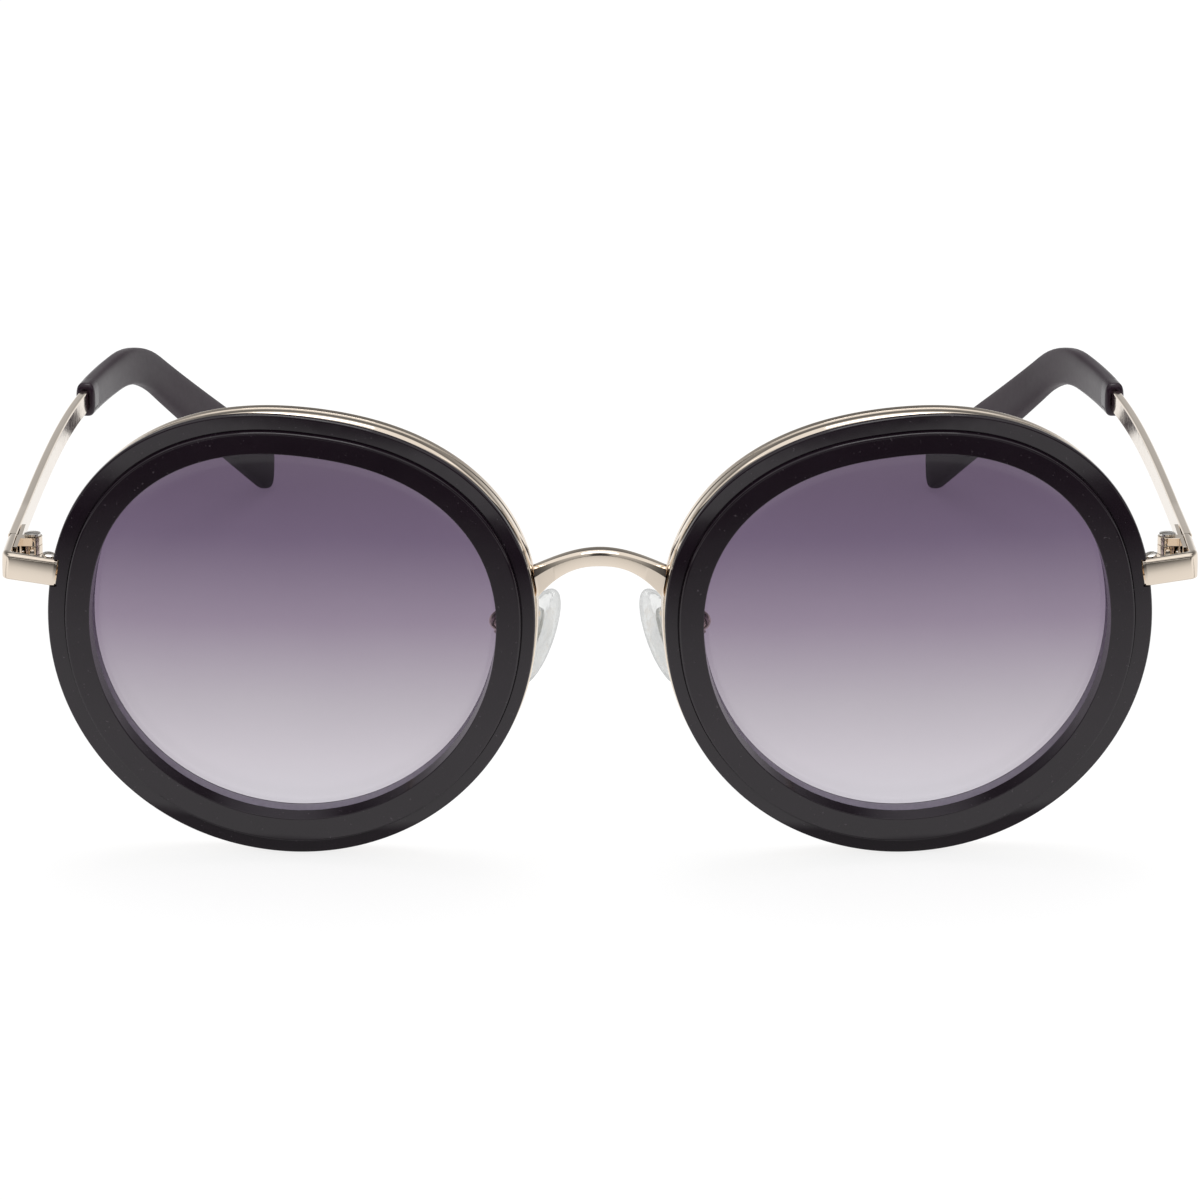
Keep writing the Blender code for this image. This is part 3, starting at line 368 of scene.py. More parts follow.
def new_material(name):
    """An empty material, its node tree and its output node."""
    material = bpy.data.materials.new(name)
    material.use_nodes = True
    tree = material.node_tree
    tree.nodes.clear()
    return material, tree, add(tree, "ShaderNodeOutputMaterial")


def fill_ramp(node, stops):
    """Gives a colour ramp node its stops of (position, colour)."""
    elements = node.color_ramp.elements
    while len(elements) < len(stops):
        elements.new(0.5)
    for element, (position, colour) in zip(elements, stops):
        element.position = position
        element.color = colour


def greys(pairs):
    """Ramp stops of (position, brightness) in grey."""
    return [(position, (value, value, value, 1)) for position, value in pairs]


# Materials

def polished_acetate(rims):
    """Cellulose acetate sheet, cut, tumbled and buffed. The eye sees near black with a violet-brown mottle in
    its depth, a clear gloss that tumbling softens, a few fine specks, and faces that wave from the buffing
    wheel."""
    material, tree, output = new_material("polished_black_acetate")
    place = add(tree, "ShaderNodeTexCoord").outputs["Object"]
    # Clouds of the sheet, 9 mm across
    clouds = add(tree, "ShaderNodeTexNoise", {"Vector": place, "Scale": 1 / (9 * MM), "Detail": 3.0})
    mottle = add(tree, "ShaderNodeMix", {
        "Factor": clouds.outputs["Fac"], "A": rims.acetate, "B": rims.acetate_mottle}, data_type="RGBA")
    # Specks of dust and filler, drawn 0.4 mm apart though real ones are finer
    dust = add(tree, "ShaderNodeTexNoise", {"Vector": place, "Scale": 1 / (0.4 * MM), "Detail": 1.0})
    speck = add(tree, "ShaderNodeMapRange", {
        "Value": dust.outputs["Fac"], "From Min": 0.72, "From Max": 0.80})
    colour = add(tree, "ShaderNodeMix", {
        "Factor": speck.outputs["Result"], "A": mottle.outputs["Result"], "B": rims.speck}, data_type="RGBA")
    # Tumbling haze in patches of 1.6 mm
    patches = add(tree, "ShaderNodeTexNoise", {"Vector": place, "Scale": 1 / (1.6 * MM), "Detail": 4.0})
    haze = add(tree, "ShaderNodeMapRange", {
        "Value": patches.outputs["Fac"], "From Min": 0.3, "From Max": 0.7, "To Min": 0.07, "To Max": 0.13})
    # Waves of the buffing wheel, 5 mm long
    swell = add(tree, "ShaderNodeTexNoise", {"Vector": place, "Scale": 1 / (5 * MM)})
    wave = add(tree, "ShaderNodeBump", {
        "Height": swell.outputs["Fac"], "Strength": 0.2, "Distance": 0.08 * MM})
    shader = add(tree, "ShaderNodeBsdfPrincipled", {
        "Base Color": colour.outputs["Result"], "Roughness": haze.outputs["Result"], "IOR": ACETATE_INDEX,
        "Normal": wave.outputs["Normal"]})
    tree.links.new(shader.outputs["BSDF"], output.inputs["Surface"])
    return material


def satin_acetate(tips):
    """Acetate sleeves, tumbled but left unbuffed along their length: charcoal with a broad soft sheen, duller
    towards the far end. The front end is polished, so it shows crisp lights. The attribute run is how far a
    point is from the front end."""
    material, tree, output = new_material("satin_black_acetate")
    place = add(tree, "ShaderNodeTexCoord").outputs["Object"]
    run = add(tree, "ShaderNodeAttribute", attribute_name="run").outputs["Fac"]
    satin = add(tree, "ShaderNodeMapRange", {
        "Value": run, "From Min": tips.gloss_length * 0.85, "From Max": tips.gloss_length, "To Min": 0.09,
        "To Max": 0.26})
    dulling = add(tree, "ShaderNodeMapRange", {
        "Value": run, "From Min": 8 * MM, "From Max": 34 * MM, "To Min": 0.0, "To Max": 0.26})
    # Grain of the tumbled skin, 0.9 mm
    skin = add(tree, "ShaderNodeTexNoise", {"Vector": place, "Scale": 1 / (0.9 * MM), "Detail": 4.0})
    grain = add(tree, "ShaderNodeMath", {
        0: skin.outputs["Fac"], 1: 0.08, 2: satin.outputs["Result"]}, operation="MULTIPLY_ADD")
    rough = add(tree, "ShaderNodeMath", {0: grain.outputs["Value"], 1: dulling.outputs["Result"]})
    # Clouds of the sheet, 12 mm across
    clouds = add(tree, "ShaderNodeTexNoise", {"Vector": place, "Scale": 1 / (12 * MM), "Detail": 3.0})
    colour = add(tree, "ShaderNodeMix", {
        "Factor": clouds.outputs["Fac"], "A": tips.acetate, "B": tips.acetate_mottle}, data_type="RGBA")
    # Hand-finished faces that wave over 3 mm
    swell = add(tree, "ShaderNodeTexNoise", {"Vector": place, "Scale": 1 / (3 * MM)})
    wave = add(tree, "ShaderNodeBump", {
        "Height": swell.outputs["Fac"], "Strength": 0.15, "Distance": 0.06 * MM})
    shader = add(tree, "ShaderNodeBsdfPrincipled", {
        "Base Color": colour.outputs["Result"], "Roughness": rough.outputs["Value"], "IOR": ACETATE_INDEX,
        "Specular IOR Level": 0.3, "Normal": wave.outputs["Normal"]})
    tree.links.new(shader.outputs["BSDF"], output.inputs["Surface"])
    return material


def gold_plating(metal):
    """Pale gold plated over buffed nickel alloy: a champagne mirror with a light buffing haze, in which the
    bright floor and the dim room stand as clear bands."""
    material, tree, output = new_material("pale_gold_plating")
    place = add(tree, "ShaderNodeTexCoord").outputs["Object"]
    # Plating of uneven depth, in patches of 7 mm
    patches = add(tree, "ShaderNodeTexNoise", {"Vector": place, "Scale": 1 / (7 * MM)})
    colour = add(tree, "ShaderNodeMix", {
        "Factor": patches.outputs["Fac"], "A": metal.plating, "B": metal.plating_shade}, data_type="RGBA")
    # Buffing haze in patches of 1.2 mm
    buffing = add(tree, "ShaderNodeTexNoise", {"Vector": place, "Scale": 1 / (1.2 * MM), "Detail": 4.0})
    haze = add(tree, "ShaderNodeMapRange", {
        "Value": buffing.outputs["Fac"], "From Min": 0.3, "From Max": 0.7, "To Min": 0.04, "To Max": 0.10})
    # Waves of the buffed faces, 2.5 mm long
    swell = add(tree, "ShaderNodeTexNoise", {"Vector": place, "Scale": 1 / (2.5 * MM)})
    wave = add(tree, "ShaderNodeBump", {
        "Height": swell.outputs["Fac"], "Strength": 0.08, "Distance": 0.03 * MM})
    shader = add(tree, "ShaderNodeBsdfPrincipled", {
        "Base Color": colour.outputs["Result"], "Metallic": 1.0, "Roughness": haze.outputs["Result"],
        "Normal": wave.outputs["Normal"]})
    tree.links.new(shader.outputs["BSDF"], output.inputs["Surface"])
    return material


def screw_steel(metal):
    """Turned stainless steel, barrel-polished: a cooler grey than the plating, and a little duller."""
    material, tree, output = new_material("turned_steel")
    place = add(tree, "ShaderNodeTexCoord").outputs["Object"]
    # Barrel marks 0.3 mm apart
    marks = add(tree, "ShaderNodeTexNoise", {"Vector": place, "Scale": 1 / (0.3 * MM), "Detail": 3.0})
    haze = add(tree, "ShaderNodeMapRange", {
        "Value": marks.outputs["Fac"], "From Min": 0.3, "From Max": 0.7, "To Min": 0.16, "To Max": 0.3})
    # Tarnish in patches of 0.8 mm
    patches = add(tree, "ShaderNodeTexNoise", {"Vector": place, "Scale": 1 / (0.8 * MM)})
    colour = add(tree, "ShaderNodeMix", {
        "Factor": patches.outputs["Fac"], "A": metal.screw_steel, "B": metal.screw_shade}, data_type="RGBA")
    shader = add(tree, "ShaderNodeBsdfPrincipled", {
        "Base Color": colour.outputs["Result"], "Metallic": 1.0, "Roughness": haze.outputs["Result"]})
    tree.links.new(shader.outputs["BSDF"], output.inputs["Surface"])
    return material


def gradient_lens(lenses, root):
    """Dip-dyed plastic lens: a grey-violet tint that thins out downwards under a hard glossy coat. A line of
    sight passes two faces, so each face carries the square root of the tint."""
    material, tree, output = new_material("gradient_tinted_lens")
    place = add(tree, "ShaderNodeTexCoord").outputs["Object"]
    centre = root @ front_matrix() @ eye_matrix(1) @ Vector()
    upright = add(tree, "ShaderNodeMapping", {"Vector": place, "Location": -centre}, vector_type="POINT")
    height = add(tree, "ShaderNodeSeparateXYZ", {"Vector": upright.outputs["Vector"]})
    # The dye line wanders by 1 mm over 14 mm
    wander = add(tree, "ShaderNodeTexNoise", {"Vector": place, "Scale": 1 / (14 * MM)})
    uneven = add(tree, "ShaderNodeMath", {
        0: wander.outputs["Fac"], 1: 1.2 * MM, 2: height.outputs["Z"]}, operation="MULTIPLY_ADD")
    share = add(tree, "ShaderNodeMapRange", {
        "Value": uneven.outputs["Value"], "From Min": -OPENING_DOWN, "From Max": OPENING_UP})
    ramp = add(tree, "ShaderNodeValToRGB", {"Fac": share.outputs["Result"]})
    stops = ((0.0, lenses.bottom), (0.16, lenses.near_bottom), (0.32, lenses.lower), (0.55, lenses.middle),
             (0.78, lenses.upper), (1.0, lenses.top))
    fill_ramp(ramp, stops)
    face_tint = add(tree, "ShaderNodeGamma", {"Color": ramp.outputs["Color"], "Gamma": 0.5})
    through = add(tree, "ShaderNodeBsdfTransparent", {"Color": face_tint.outputs["Color"]})
    gloss = add(tree, "ShaderNodeBsdfGlossy", {"Roughness": 0.14})
    # The line of sight isn't bent inside the lens, so its far face, met from inside, gets the reciprocal
    # index, which gives it as much gloss as the near face
    met = add(tree, "ShaderNodeNewGeometry")
    index = add(tree, "ShaderNodeMapRange", {
        "Value": met.outputs["Backfacing"], "To Min": LENS_INDEX, "To Max": 1 / LENS_INDEX})
    fresnel = add(tree, "ShaderNodeFresnel", {"IOR": index.outputs["Result"]})
    both = add(tree, "ShaderNodeMixShader", {
        "Fac": fresnel.outputs["Fac"], 1: through.outputs["BSDF"], 2: gloss.outputs["BSDF"]})
    tree.links.new(both.outputs["Shader"], output.inputs["Surface"])
    return material


def ground_edge(lenses):
    """Edge of a plastic lens, ground to its bevel and left matt: a thin grey line where the lens shows it."""
    material, tree, output = new_material("ground_lens_edge")
    place = add(tree, "ShaderNodeTexCoord").outputs["Object"]
    # Marks of the grinding wheel, drawn 0.5 mm apart though real ones are finer
    marks = add(tree, "ShaderNodeTexNoise", {"Vector": place, "Scale": 1 / (0.5 * MM), "Detail": 2.0})
    colour = add(tree, "ShaderNodeMix", {
        "Factor": marks.outputs["Fac"], "A": lenses.edge, "B": lenses.edge_shade}, data_type="RGBA")
    rough = add(tree, "ShaderNodeMapRange", {
        "Value": marks.outputs["Fac"], "From Min": 0.3, "From Max": 0.7, "To Min": 0.5, "To Max": 0.65})
    shader = add(tree, "ShaderNodeBsdfPrincipled", {
        "Base Color": colour.outputs["Result"], "Roughness": rough.outputs["Result"], "IOR": LENS_INDEX})
    tree.links.new(shader.outputs["BSDF"], output.inputs["Surface"])
    return material


def clear_skin(tree, output, colour, edge, roughness, wave, ior, haze):
    """A see-through skin, greyer towards its outline as painted shade for the darker view that refraction
    gives at a clear solid's edge, with gloss and a share of milky haze over it.
    """
    # The grey towards the outline is painted shade: it stands in for the darker view that refraction gives at
    # a clear solid's edge
    facing = add(tree, "ShaderNodeLayerWeight", {"Blend": 0.3, "Normal": wave})
    steep = add(tree, "ShaderNodeMath", {0: facing.outputs["Facing"], 1: 2.2}, operation="POWER")
    tint = add(tree, "ShaderNodeMix", {
        "Factor": steep.outputs["Value"], "A": colour, "B": edge}, data_type="RGBA")
    through = add(tree, "ShaderNodeBsdfTransparent", {"Color": tint.outputs["Result"]})
    gloss = add(tree, "ShaderNodeBsdfGlossy", {"Roughness": roughness, "Normal": wave})
    fresnel = add(tree, "ShaderNodeFresnel", {"IOR": ior, "Normal": wave})
    # Light that the inside throws back also leaves by other ways, so gloss never covers the view whole
    gloss_share = add(tree, "ShaderNodeMath", {0: fresnel.outputs["Fac"], 1: 0.45}, operation="MINIMUM")
    clear = add(tree, "ShaderNodeMixShader", {
        "Fac": gloss_share.outputs["Value"], 1: through.outputs["BSDF"], 2: gloss.outputs["BSDF"]})
    milk = add(tree, "ShaderNodeBsdfDiffuse", {"Color": colour, "Normal": wave})
    both = add(tree, "ShaderNodeMixShader", {
        "Fac": haze, 1: clear.outputs["Shader"], 2: milk.outputs["BSDF"]})
    tree.links.new(both.outputs["Shader"], output.inputs["Surface"])


def clear_silicone(pads):
    """Moulded clear silicone: waterclear with a soft skin, so that lights spread a little; its grey edges are
    painted shade.
    """
    material, tree, output = new_material("moulded_clear_silicone")
    place = add(tree, "ShaderNodeTexCoord").outputs["Object"]
    # Skin marks of the mould, 0.7 mm
    marks = add(tree, "ShaderNodeTexNoise", {"Vector": place, "Scale": 1 / (0.7 * MM), "Detail": 3.0})
    skin = add(tree, "ShaderNodeMapRange", {
        "Value": marks.outputs["Fac"], "From Min": 0.3, "From Max": 0.7, "To Min": 0.05, "To Max": 0.14})
    # A faint milkiness in clouds of 3 mm
    clouds = add(tree, "ShaderNodeTexNoise", {"Vector": place, "Scale": 1 / (3 * MM)})
    colour = add(tree, "ShaderNodeMix", {
        "Factor": clouds.outputs["Fac"], "A": pads.silicone, "B": pads.silicone_cloud}, data_type="RGBA")
    haze = add(tree, "ShaderNodeMapRange", {
        "Value": clouds.outputs["Fac"], "From Min": 0.3, "From Max": 0.7, "To Min": 0.01, "To Max": 0.05})
    # Sink marks 1.4 mm long
    sinks = add(tree, "ShaderNodeTexNoise", {"Vector": place, "Scale": 1 / (1.4 * MM)})
    wave = add(tree, "ShaderNodeBump", {
        "Height": sinks.outputs["Fac"], "Strength": 1.0, "Distance": 0.12 * MM})
    clear_skin(tree, output, colour.outputs["Result"], pads.silicone_outline_shade, skin.outputs["Result"],
               wave.outputs["Normal"], SILICONE_INDEX, haze.outputs["Result"])
    return material


def clear_plastic(pads):
    """Moulded clear polycarbonate of the pads' cores: glass-like, with faint flow marks in its gloss."""
    material, tree, output = new_material("moulded_polycarbonate")
    place = add(tree, "ShaderNodeTexCoord").outputs["Object"]
    # Tone of the melt, in streaks of 2 mm
    streaks = add(tree, "ShaderNodeTexNoise", {"Vector": place, "Scale": 1 / (2 * MM)})
    colour = add(tree, "ShaderNodeMix", {
        "Factor": streaks.outputs["Fac"], "A": pads.core, "B": pads.core_streak}, data_type="RGBA")
    # Flow marks 0.9 mm apart
    marks = add(tree, "ShaderNodeTexNoise", {"Vector": place, "Scale": 1 / (0.9 * MM), "Detail": 2.0})
    wave = add(tree, "ShaderNodeBump", {
        "Height": marks.outputs["Fac"], "Strength": 1.0, "Distance": 0.05 * MM})
    haze = add(tree, "ShaderNodeMapRange", {
        "Value": marks.outputs["Fac"], "From Min": 0.4, "From Max": 0.7, "To Min": 0.0, "To Max": 0.06})
    # The core's grey towards its outline is painted shade for the darker view that refraction gives at its
    # edges
    clear_skin(tree, output, colour.outputs["Result"], pads.core_outline_shade, 0.05, wave.outputs["Normal"],
               POLYCARBONATE_INDEX, haze.outputs["Result"])
    return material


def settings():
    return bpy.context.scene.sunglasses


def finish(name):
    """One of the finishes, made when it is first asked for."""
    made = bpy.data.materials.get(name)
    if made is not None:
        return made
    makers = {
        "polished_black_acetate": lambda: polished_acetate(settings().rims),
        "satin_black_acetate": lambda: satin_acetate(settings().tips),
        "pale_gold_plating": lambda: gold_plating(settings().metal),
        "turned_steel": lambda: screw_steel(settings().metal),
        "gradient_tinted_lens": lambda: gradient_lens(settings().lenses, root_matrix()),
        "ground_lens_edge": lambda: ground_edge(settings().lenses),
        "moulded_clear_silicone": lambda: clear_silicone(settings().pads),
        "moulded_polycarbonate": lambda: clear_plastic(settings().pads),
    }
    return makers[name]()


# Outline of a rim, as in the part's source

def outline(angle, grow):
    """The opening of the wearer's left ring, grown outwards: (x, z) in the lens plane."""
    above = math.sin(angle) >= 0
    if above:
        height = OPENING_UP + grow * (1 - BAND_DROP_SHARE)
    else:
        height = OPENING_DOWN + grow * (1 + BAND_DROP_SHARE)
    power = UPPER_POWER if above else LOWER_POWER
    across = (abs(math.cos(angle)) / (OPENING_HALF_WIDTH + grow)) ** power
    along = (abs(math.sin(angle)) / height) ** power
    radius = (across + along) ** (-1 / power)
    return radius * math.cos(angle + OPENING_ROLL), radius * math.sin(angle + OPENING_ROLL)


def angle_at(height, grow, nasal=False):
    """Where the grown outline passes a height, on its temple side or on its nose side."""
    low, high = NOSE_SIDE_ARC if nasal else TEMPLE_SIDE_ARC
    for _ in range(SEARCH_STEPS):
        middle = (low + high) / 2
        if outline(middle, grow)[1] < height:
            low = middle
        else:
            high = middle
    return (low + high) / 2


def rim_point(side, angle, grow, depth):
    x, z = outline(angle, grow)
    return Vector((side * x, depth, z))


def split_angles(half_gap):
    """Start and stop angle of the eyewire, which is open at the rim lock."""
    middle = angle_at(END_RISE - LOCK_DROP, BAND_WIDTH)
    turn = half_gap / (OPENING_HALF_WIDTH + BAND_WIDTH)
    return middle + turn, middle - turn + FULL_TURN


# Places

def front_matrix():
    return Matrix.Rotation(PANTOSCOPIC_TILT, 4, "X")


def eye_matrix(side):
    return Matrix.Translation((side * EYE_DISTANCE / 2, 0, 0)) @ Matrix.Rotation(side * WRAP, 4, "Z")


def worn_rim_point(side, height, grow, depth):
    point = rim_point(side, angle_at(height, grow), grow, depth)
    return front_matrix() @ eye_matrix(side) @ point


def end_path(side, corner_steps):
    """Centre line of the end piece: points, how thick the bar is at each, its heading and the hinge seam."""
    start = worn_rim_point(side, END_RISE, BAND_WIDTH - NOTCH_DEPTH + TONGUE_GAP, TONGUE_FRONT)
    leave = worn_rim_point(side, END_RISE, BAND_WIDTH + SEAT_GAP, TONGUE_FRONT)
    points = [point + Vector((0, END_TONGUE_THICKNESS / 2, 0)) for point in (start, leave)]
    outer = side * (abs(leave.x) + END_REACH - END_THICKNESS / 2)
    first = points[1]
    vertex = Vector((outer, first.y + abs(outer - first.x) * math.tan(END_SWEEP), first.z))
    bend = math.pi / 2 - END_SWEEP
    reach = END_CORNER_RADIUS * math.tan(bend / 2)
    heading = Vector((side * math.cos(END_SWEEP), math.sin(END_SWEEP), 0))
    centre = vertex + Vector((-side * END_CORNER_RADIUS, reach, 0))
    for step in range(corner_steps + 1):
        angle = -bend + bend * step / corner_steps
        offset = Vector((side * END_CORNER_RADIUS * math.cos(angle), END_CORNER_RADIUS * math.sin(angle), 0))
        points.append(centre + offset)
    seam = Vector((outer, vertex.y + END_RETURN, first.z))
    points.append(seam - Vector((0, SEAT_GAP, 0)))
    thicknesses = [END_TONGUE_THICKNESS] * 2 + [END_THICKNESS] * (corner_steps + 1) + [TEMPLE_THICKNESS]
    return points, thicknesses, heading, seam


def hinge_point(side):
    """Where the hinge axis crosses the temple's centre line height."""
    seam = end_path(side, 1)[3]
    inner = abs(seam.x) - TEMPLE_THICKNESS / 2
    return Vector((side * (inner - HINGE_STANDOFF), seam.y - HINGE_BEFORE_SEAM, seam.z))


def root_matrix():
    """From the worn frame to the standing glasses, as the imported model's left temple joint gives it."""
    joint = next(entry for entry in frame["joints"] if entry["name"] == "temple_fold_left")
    axis = Vector(joint["axis"])
    turn = Matrix.Rotation(-math.atan2(axis.y, axis.z), 4, "X")
    place = Vector(joint["pos_m"]) - turn @ hinge_point(1)
    return Matrix.Translation(place) @ turn


def eye_place(side):
    return root_matrix() @ front_matrix() @ eye_matrix(side)


def hinge_place(side):
    return root_matrix() @ Matrix.Translation(hinge_point(side))


def pad_place(side):
    """On the pad screw's centre: Y along the screw, Z up the pad, X away from or to the nose."""
    place = Matrix.Translation((side * PAD_SCREW_SPACING / 2, PAD_SETBACK, -PAD_DROP))
    turn = Matrix.Rotation(-side * PAD_TURN, 4, "Z") @ Matrix.Rotation(-side * PAD_SPLAY, 4, "Y")
    return root_matrix() @ front_matrix() @ place @ turn


def lock_place(side):
    """On the lock screw's axis at the split, with Z along the rim."""
    grow = BAND_WIDTH + SEAT_GAP + LOCK_WIDTH / 2
    depth = (LOCK_FRONT + EYEWIRE_BACK) / 2
    start, stop = split_angles(RIM_SPLIT / 2)
    above = rim_point(side, start, grow, depth)
    below = rim_point(side, stop, grow, depth)
    along = (above - below).normalized()
    across = Vector((0, 1, 0)).cross(along)
    turn = Matrix((across, Vector((0, 1, 0)), along)).transposed().to_4x4()
    return eye_place(side) @ Matrix.Translation((above + below) / 2) @ turn


# Shapes

def loft(loops, capped=True):
    """Loops of as many points each, joined in order; capped, both ends get a face."""
    shape = bmesh.new()
    rows = [[shape.verts.new(point) for point in loop] for loop in loops]
    for row, following in zip(rows, rows[1:]):
        for index in range(len(row)):
            after = (index + 1) % len(row)
            shape.faces.new((row[index], row[after], following[after], following[index]))
    if capped:
        shape.faces.new(rows[0])
        shape.faces.new(rows[-1])
    return shape


def rounded(corners, steps=ARC_STEPS):
    """A closed polygon of (x, y, radius) corners, each corner with a radius drawn as an arc."""
    points = []
    for index, (x, y, radius) in enumerate(corners):
        corner = Vector((x, y))
        if radius == 0:
            points.append(corner)
            continue
        before = (Vector(corners[index - 1][:2]) - corner).normalized()
        after = (Vector(corners[(index + 1) % len(corners)][:2]) - corner).normalized()
        half = before.angle(after) / 2
        start = corner + before * radius / math.tan(half)
        stop = corner + after * radius / math.tan(half)
        centre = corner + (before + after).normalized() * radius / math.sin(half)
        for step in range(steps + 1):
            points.append(centre + (start - centre).slerp(stop - centre, step / steps) * radius)
    return points


def bar_section(thickness, height, radius):
    """A flat bar's outline about its middle."""
    x, y = thickness / 2, height / 2
    return rounded([(x, y, radius), (-x, y, radius), (-x, -y, radius), (x, -y, radius)])


def superellipse(sides, power):
    """Points of a unit superellipse; a high power makes it a square with round corners."""
    points = []
    for step in range(sides):
        angle = FULL_TURN * (step + 0.5) / sides
        x = math.copysign(abs(math.cos(angle)) ** (2 / power), math.cos(angle))
        y = math.copysign(abs(math.sin(angle)) ** (2 / power), math.sin(angle))
        points.append((x, y))
    return points


def mesh_of(shape, name, matrix=None):
    """A mesh from a bmesh, moved to its place, with its faces turned outwards."""
    if matrix is not None:
        shape.transform(matrix)
    bmesh.ops.recalc_face_normals(shape, faces=shape.faces)
    mesh = bpy.data.meshes.new(name)
    shape.to_mesh(mesh)
    shape.free()
    return mesh


def new_object(name, mesh):
    obj = bpy.data.objects.new(name, mesh)
    bpy.context.scene.collection.objects.link(obj)
    return obj


def plain_mesh(obj):
    """The evaluated object as a plain mesh; the object and its modifiers are taken away."""
    graph = bpy.context.evaluated_depsgraph_get()
    mesh = bpy.data.meshes.new_from_object(obj.evaluated_get(graph))
    name = obj.name
    bpy.data.objects.remove(obj, do_unlink=True)
    mesh.name = name
    return mesh


def outwards(mesh):
    """Merges doubles, closes open ends and turns all faces outwards."""
    shape = bmesh.new()
    shape.from_mesh(mesh)
    bmesh.ops.remove_doubles(shape, verts=shape.verts, dist=MERGE_DISTANCE)
    open_edges = [edge for edge in shape.edges if edge.is_boundary]
    if open_edges:
        bmesh.ops.holes_fill(shape, edges=open_edges)
    bmesh.ops.recalc_face_normals(shape, faces=shape.faces)
    shape.to_mesh(mesh)
    shape.free()
    return mesh


def show(name, mesh, material, body, slot, *nodes):
    """A finished piece that rides on a body and stands for CAD nodes. Its shading leaves flat faces flat
    between their rounded edges."""
    mesh.materials.clear()
    mesh.materials.append(finish(material))
    mesh.shade_smooth()
    mesh.set_sharp_from_angle(angle=SHARP_ANGLE)
    draft = new_object(name, mesh)
    weighted = draft.modifiers.new("flat faces", "WEIGHTED_NORMAL")
    weighted.mode = "FACE_AREA"
    weighted.weight = 50
    weighted.keep_sharp = True
    obj = new_object(name, plain_mesh(draft))
    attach(obj, body)
    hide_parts(*nodes)
    return obj


def softened(name, node, width):
    """A merged copy of a CAD node with its edges broken."""
    shape = bmesh.new()
    shape.from_mesh(frame["nodes"][node].data)
    bmesh.ops.remove_doubles(shape, verts=shape.verts, dist=MERGE_DISTANCE)
    bmesh.ops.dissolve_limit(shape, angle_limit=FLAT_ANGLE, verts=shape.verts, edges=shape.edges)
    obj = new_object(name, mesh_of(shape, name))
    bevel = obj.modifiers.new("edge break", "BEVEL")
    bevel.width = width
    bevel.segments = 3
    bevel.limit_method = "ANGLE"
    bevel.angle_limit = BREAK_ANGLE
    return plain_mesh(obj)


# Geometry Nodes

def node_input(modifier, name, value):
    """Sets a modifier's input by the identifier of the socket with that name."""
    for item in modifier.node_group.interface.items_tree:
        if item.item_type == "SOCKET" and item.in_out == "INPUT" and item.name == name:
            modifier[item.identifier] = value
            return
    raise KeyError(f"{modifier.node_group.name} has no input named {name}")


def geometry_tree(name, inputs):
    """A geometry node tree with named inputs, its group input and its output node."""
    tree = bpy.data.node_groups.new(name, "GeometryNodeTree")
    tree.interface.new_socket("Geometry", in_out="INPUT", socket_type="NodeSocketGeometry")
    for label, kind in inputs:
        tree.interface.new_socket(label, in_out="INPUT", socket_type=kind)
    tree.interface.new_socket("Geometry", in_out="OUTPUT", socket_type="NodeSocketGeometry")
    return tree, add(tree, "NodeGroupInput"), add(tree, "NodeGroupOutput")


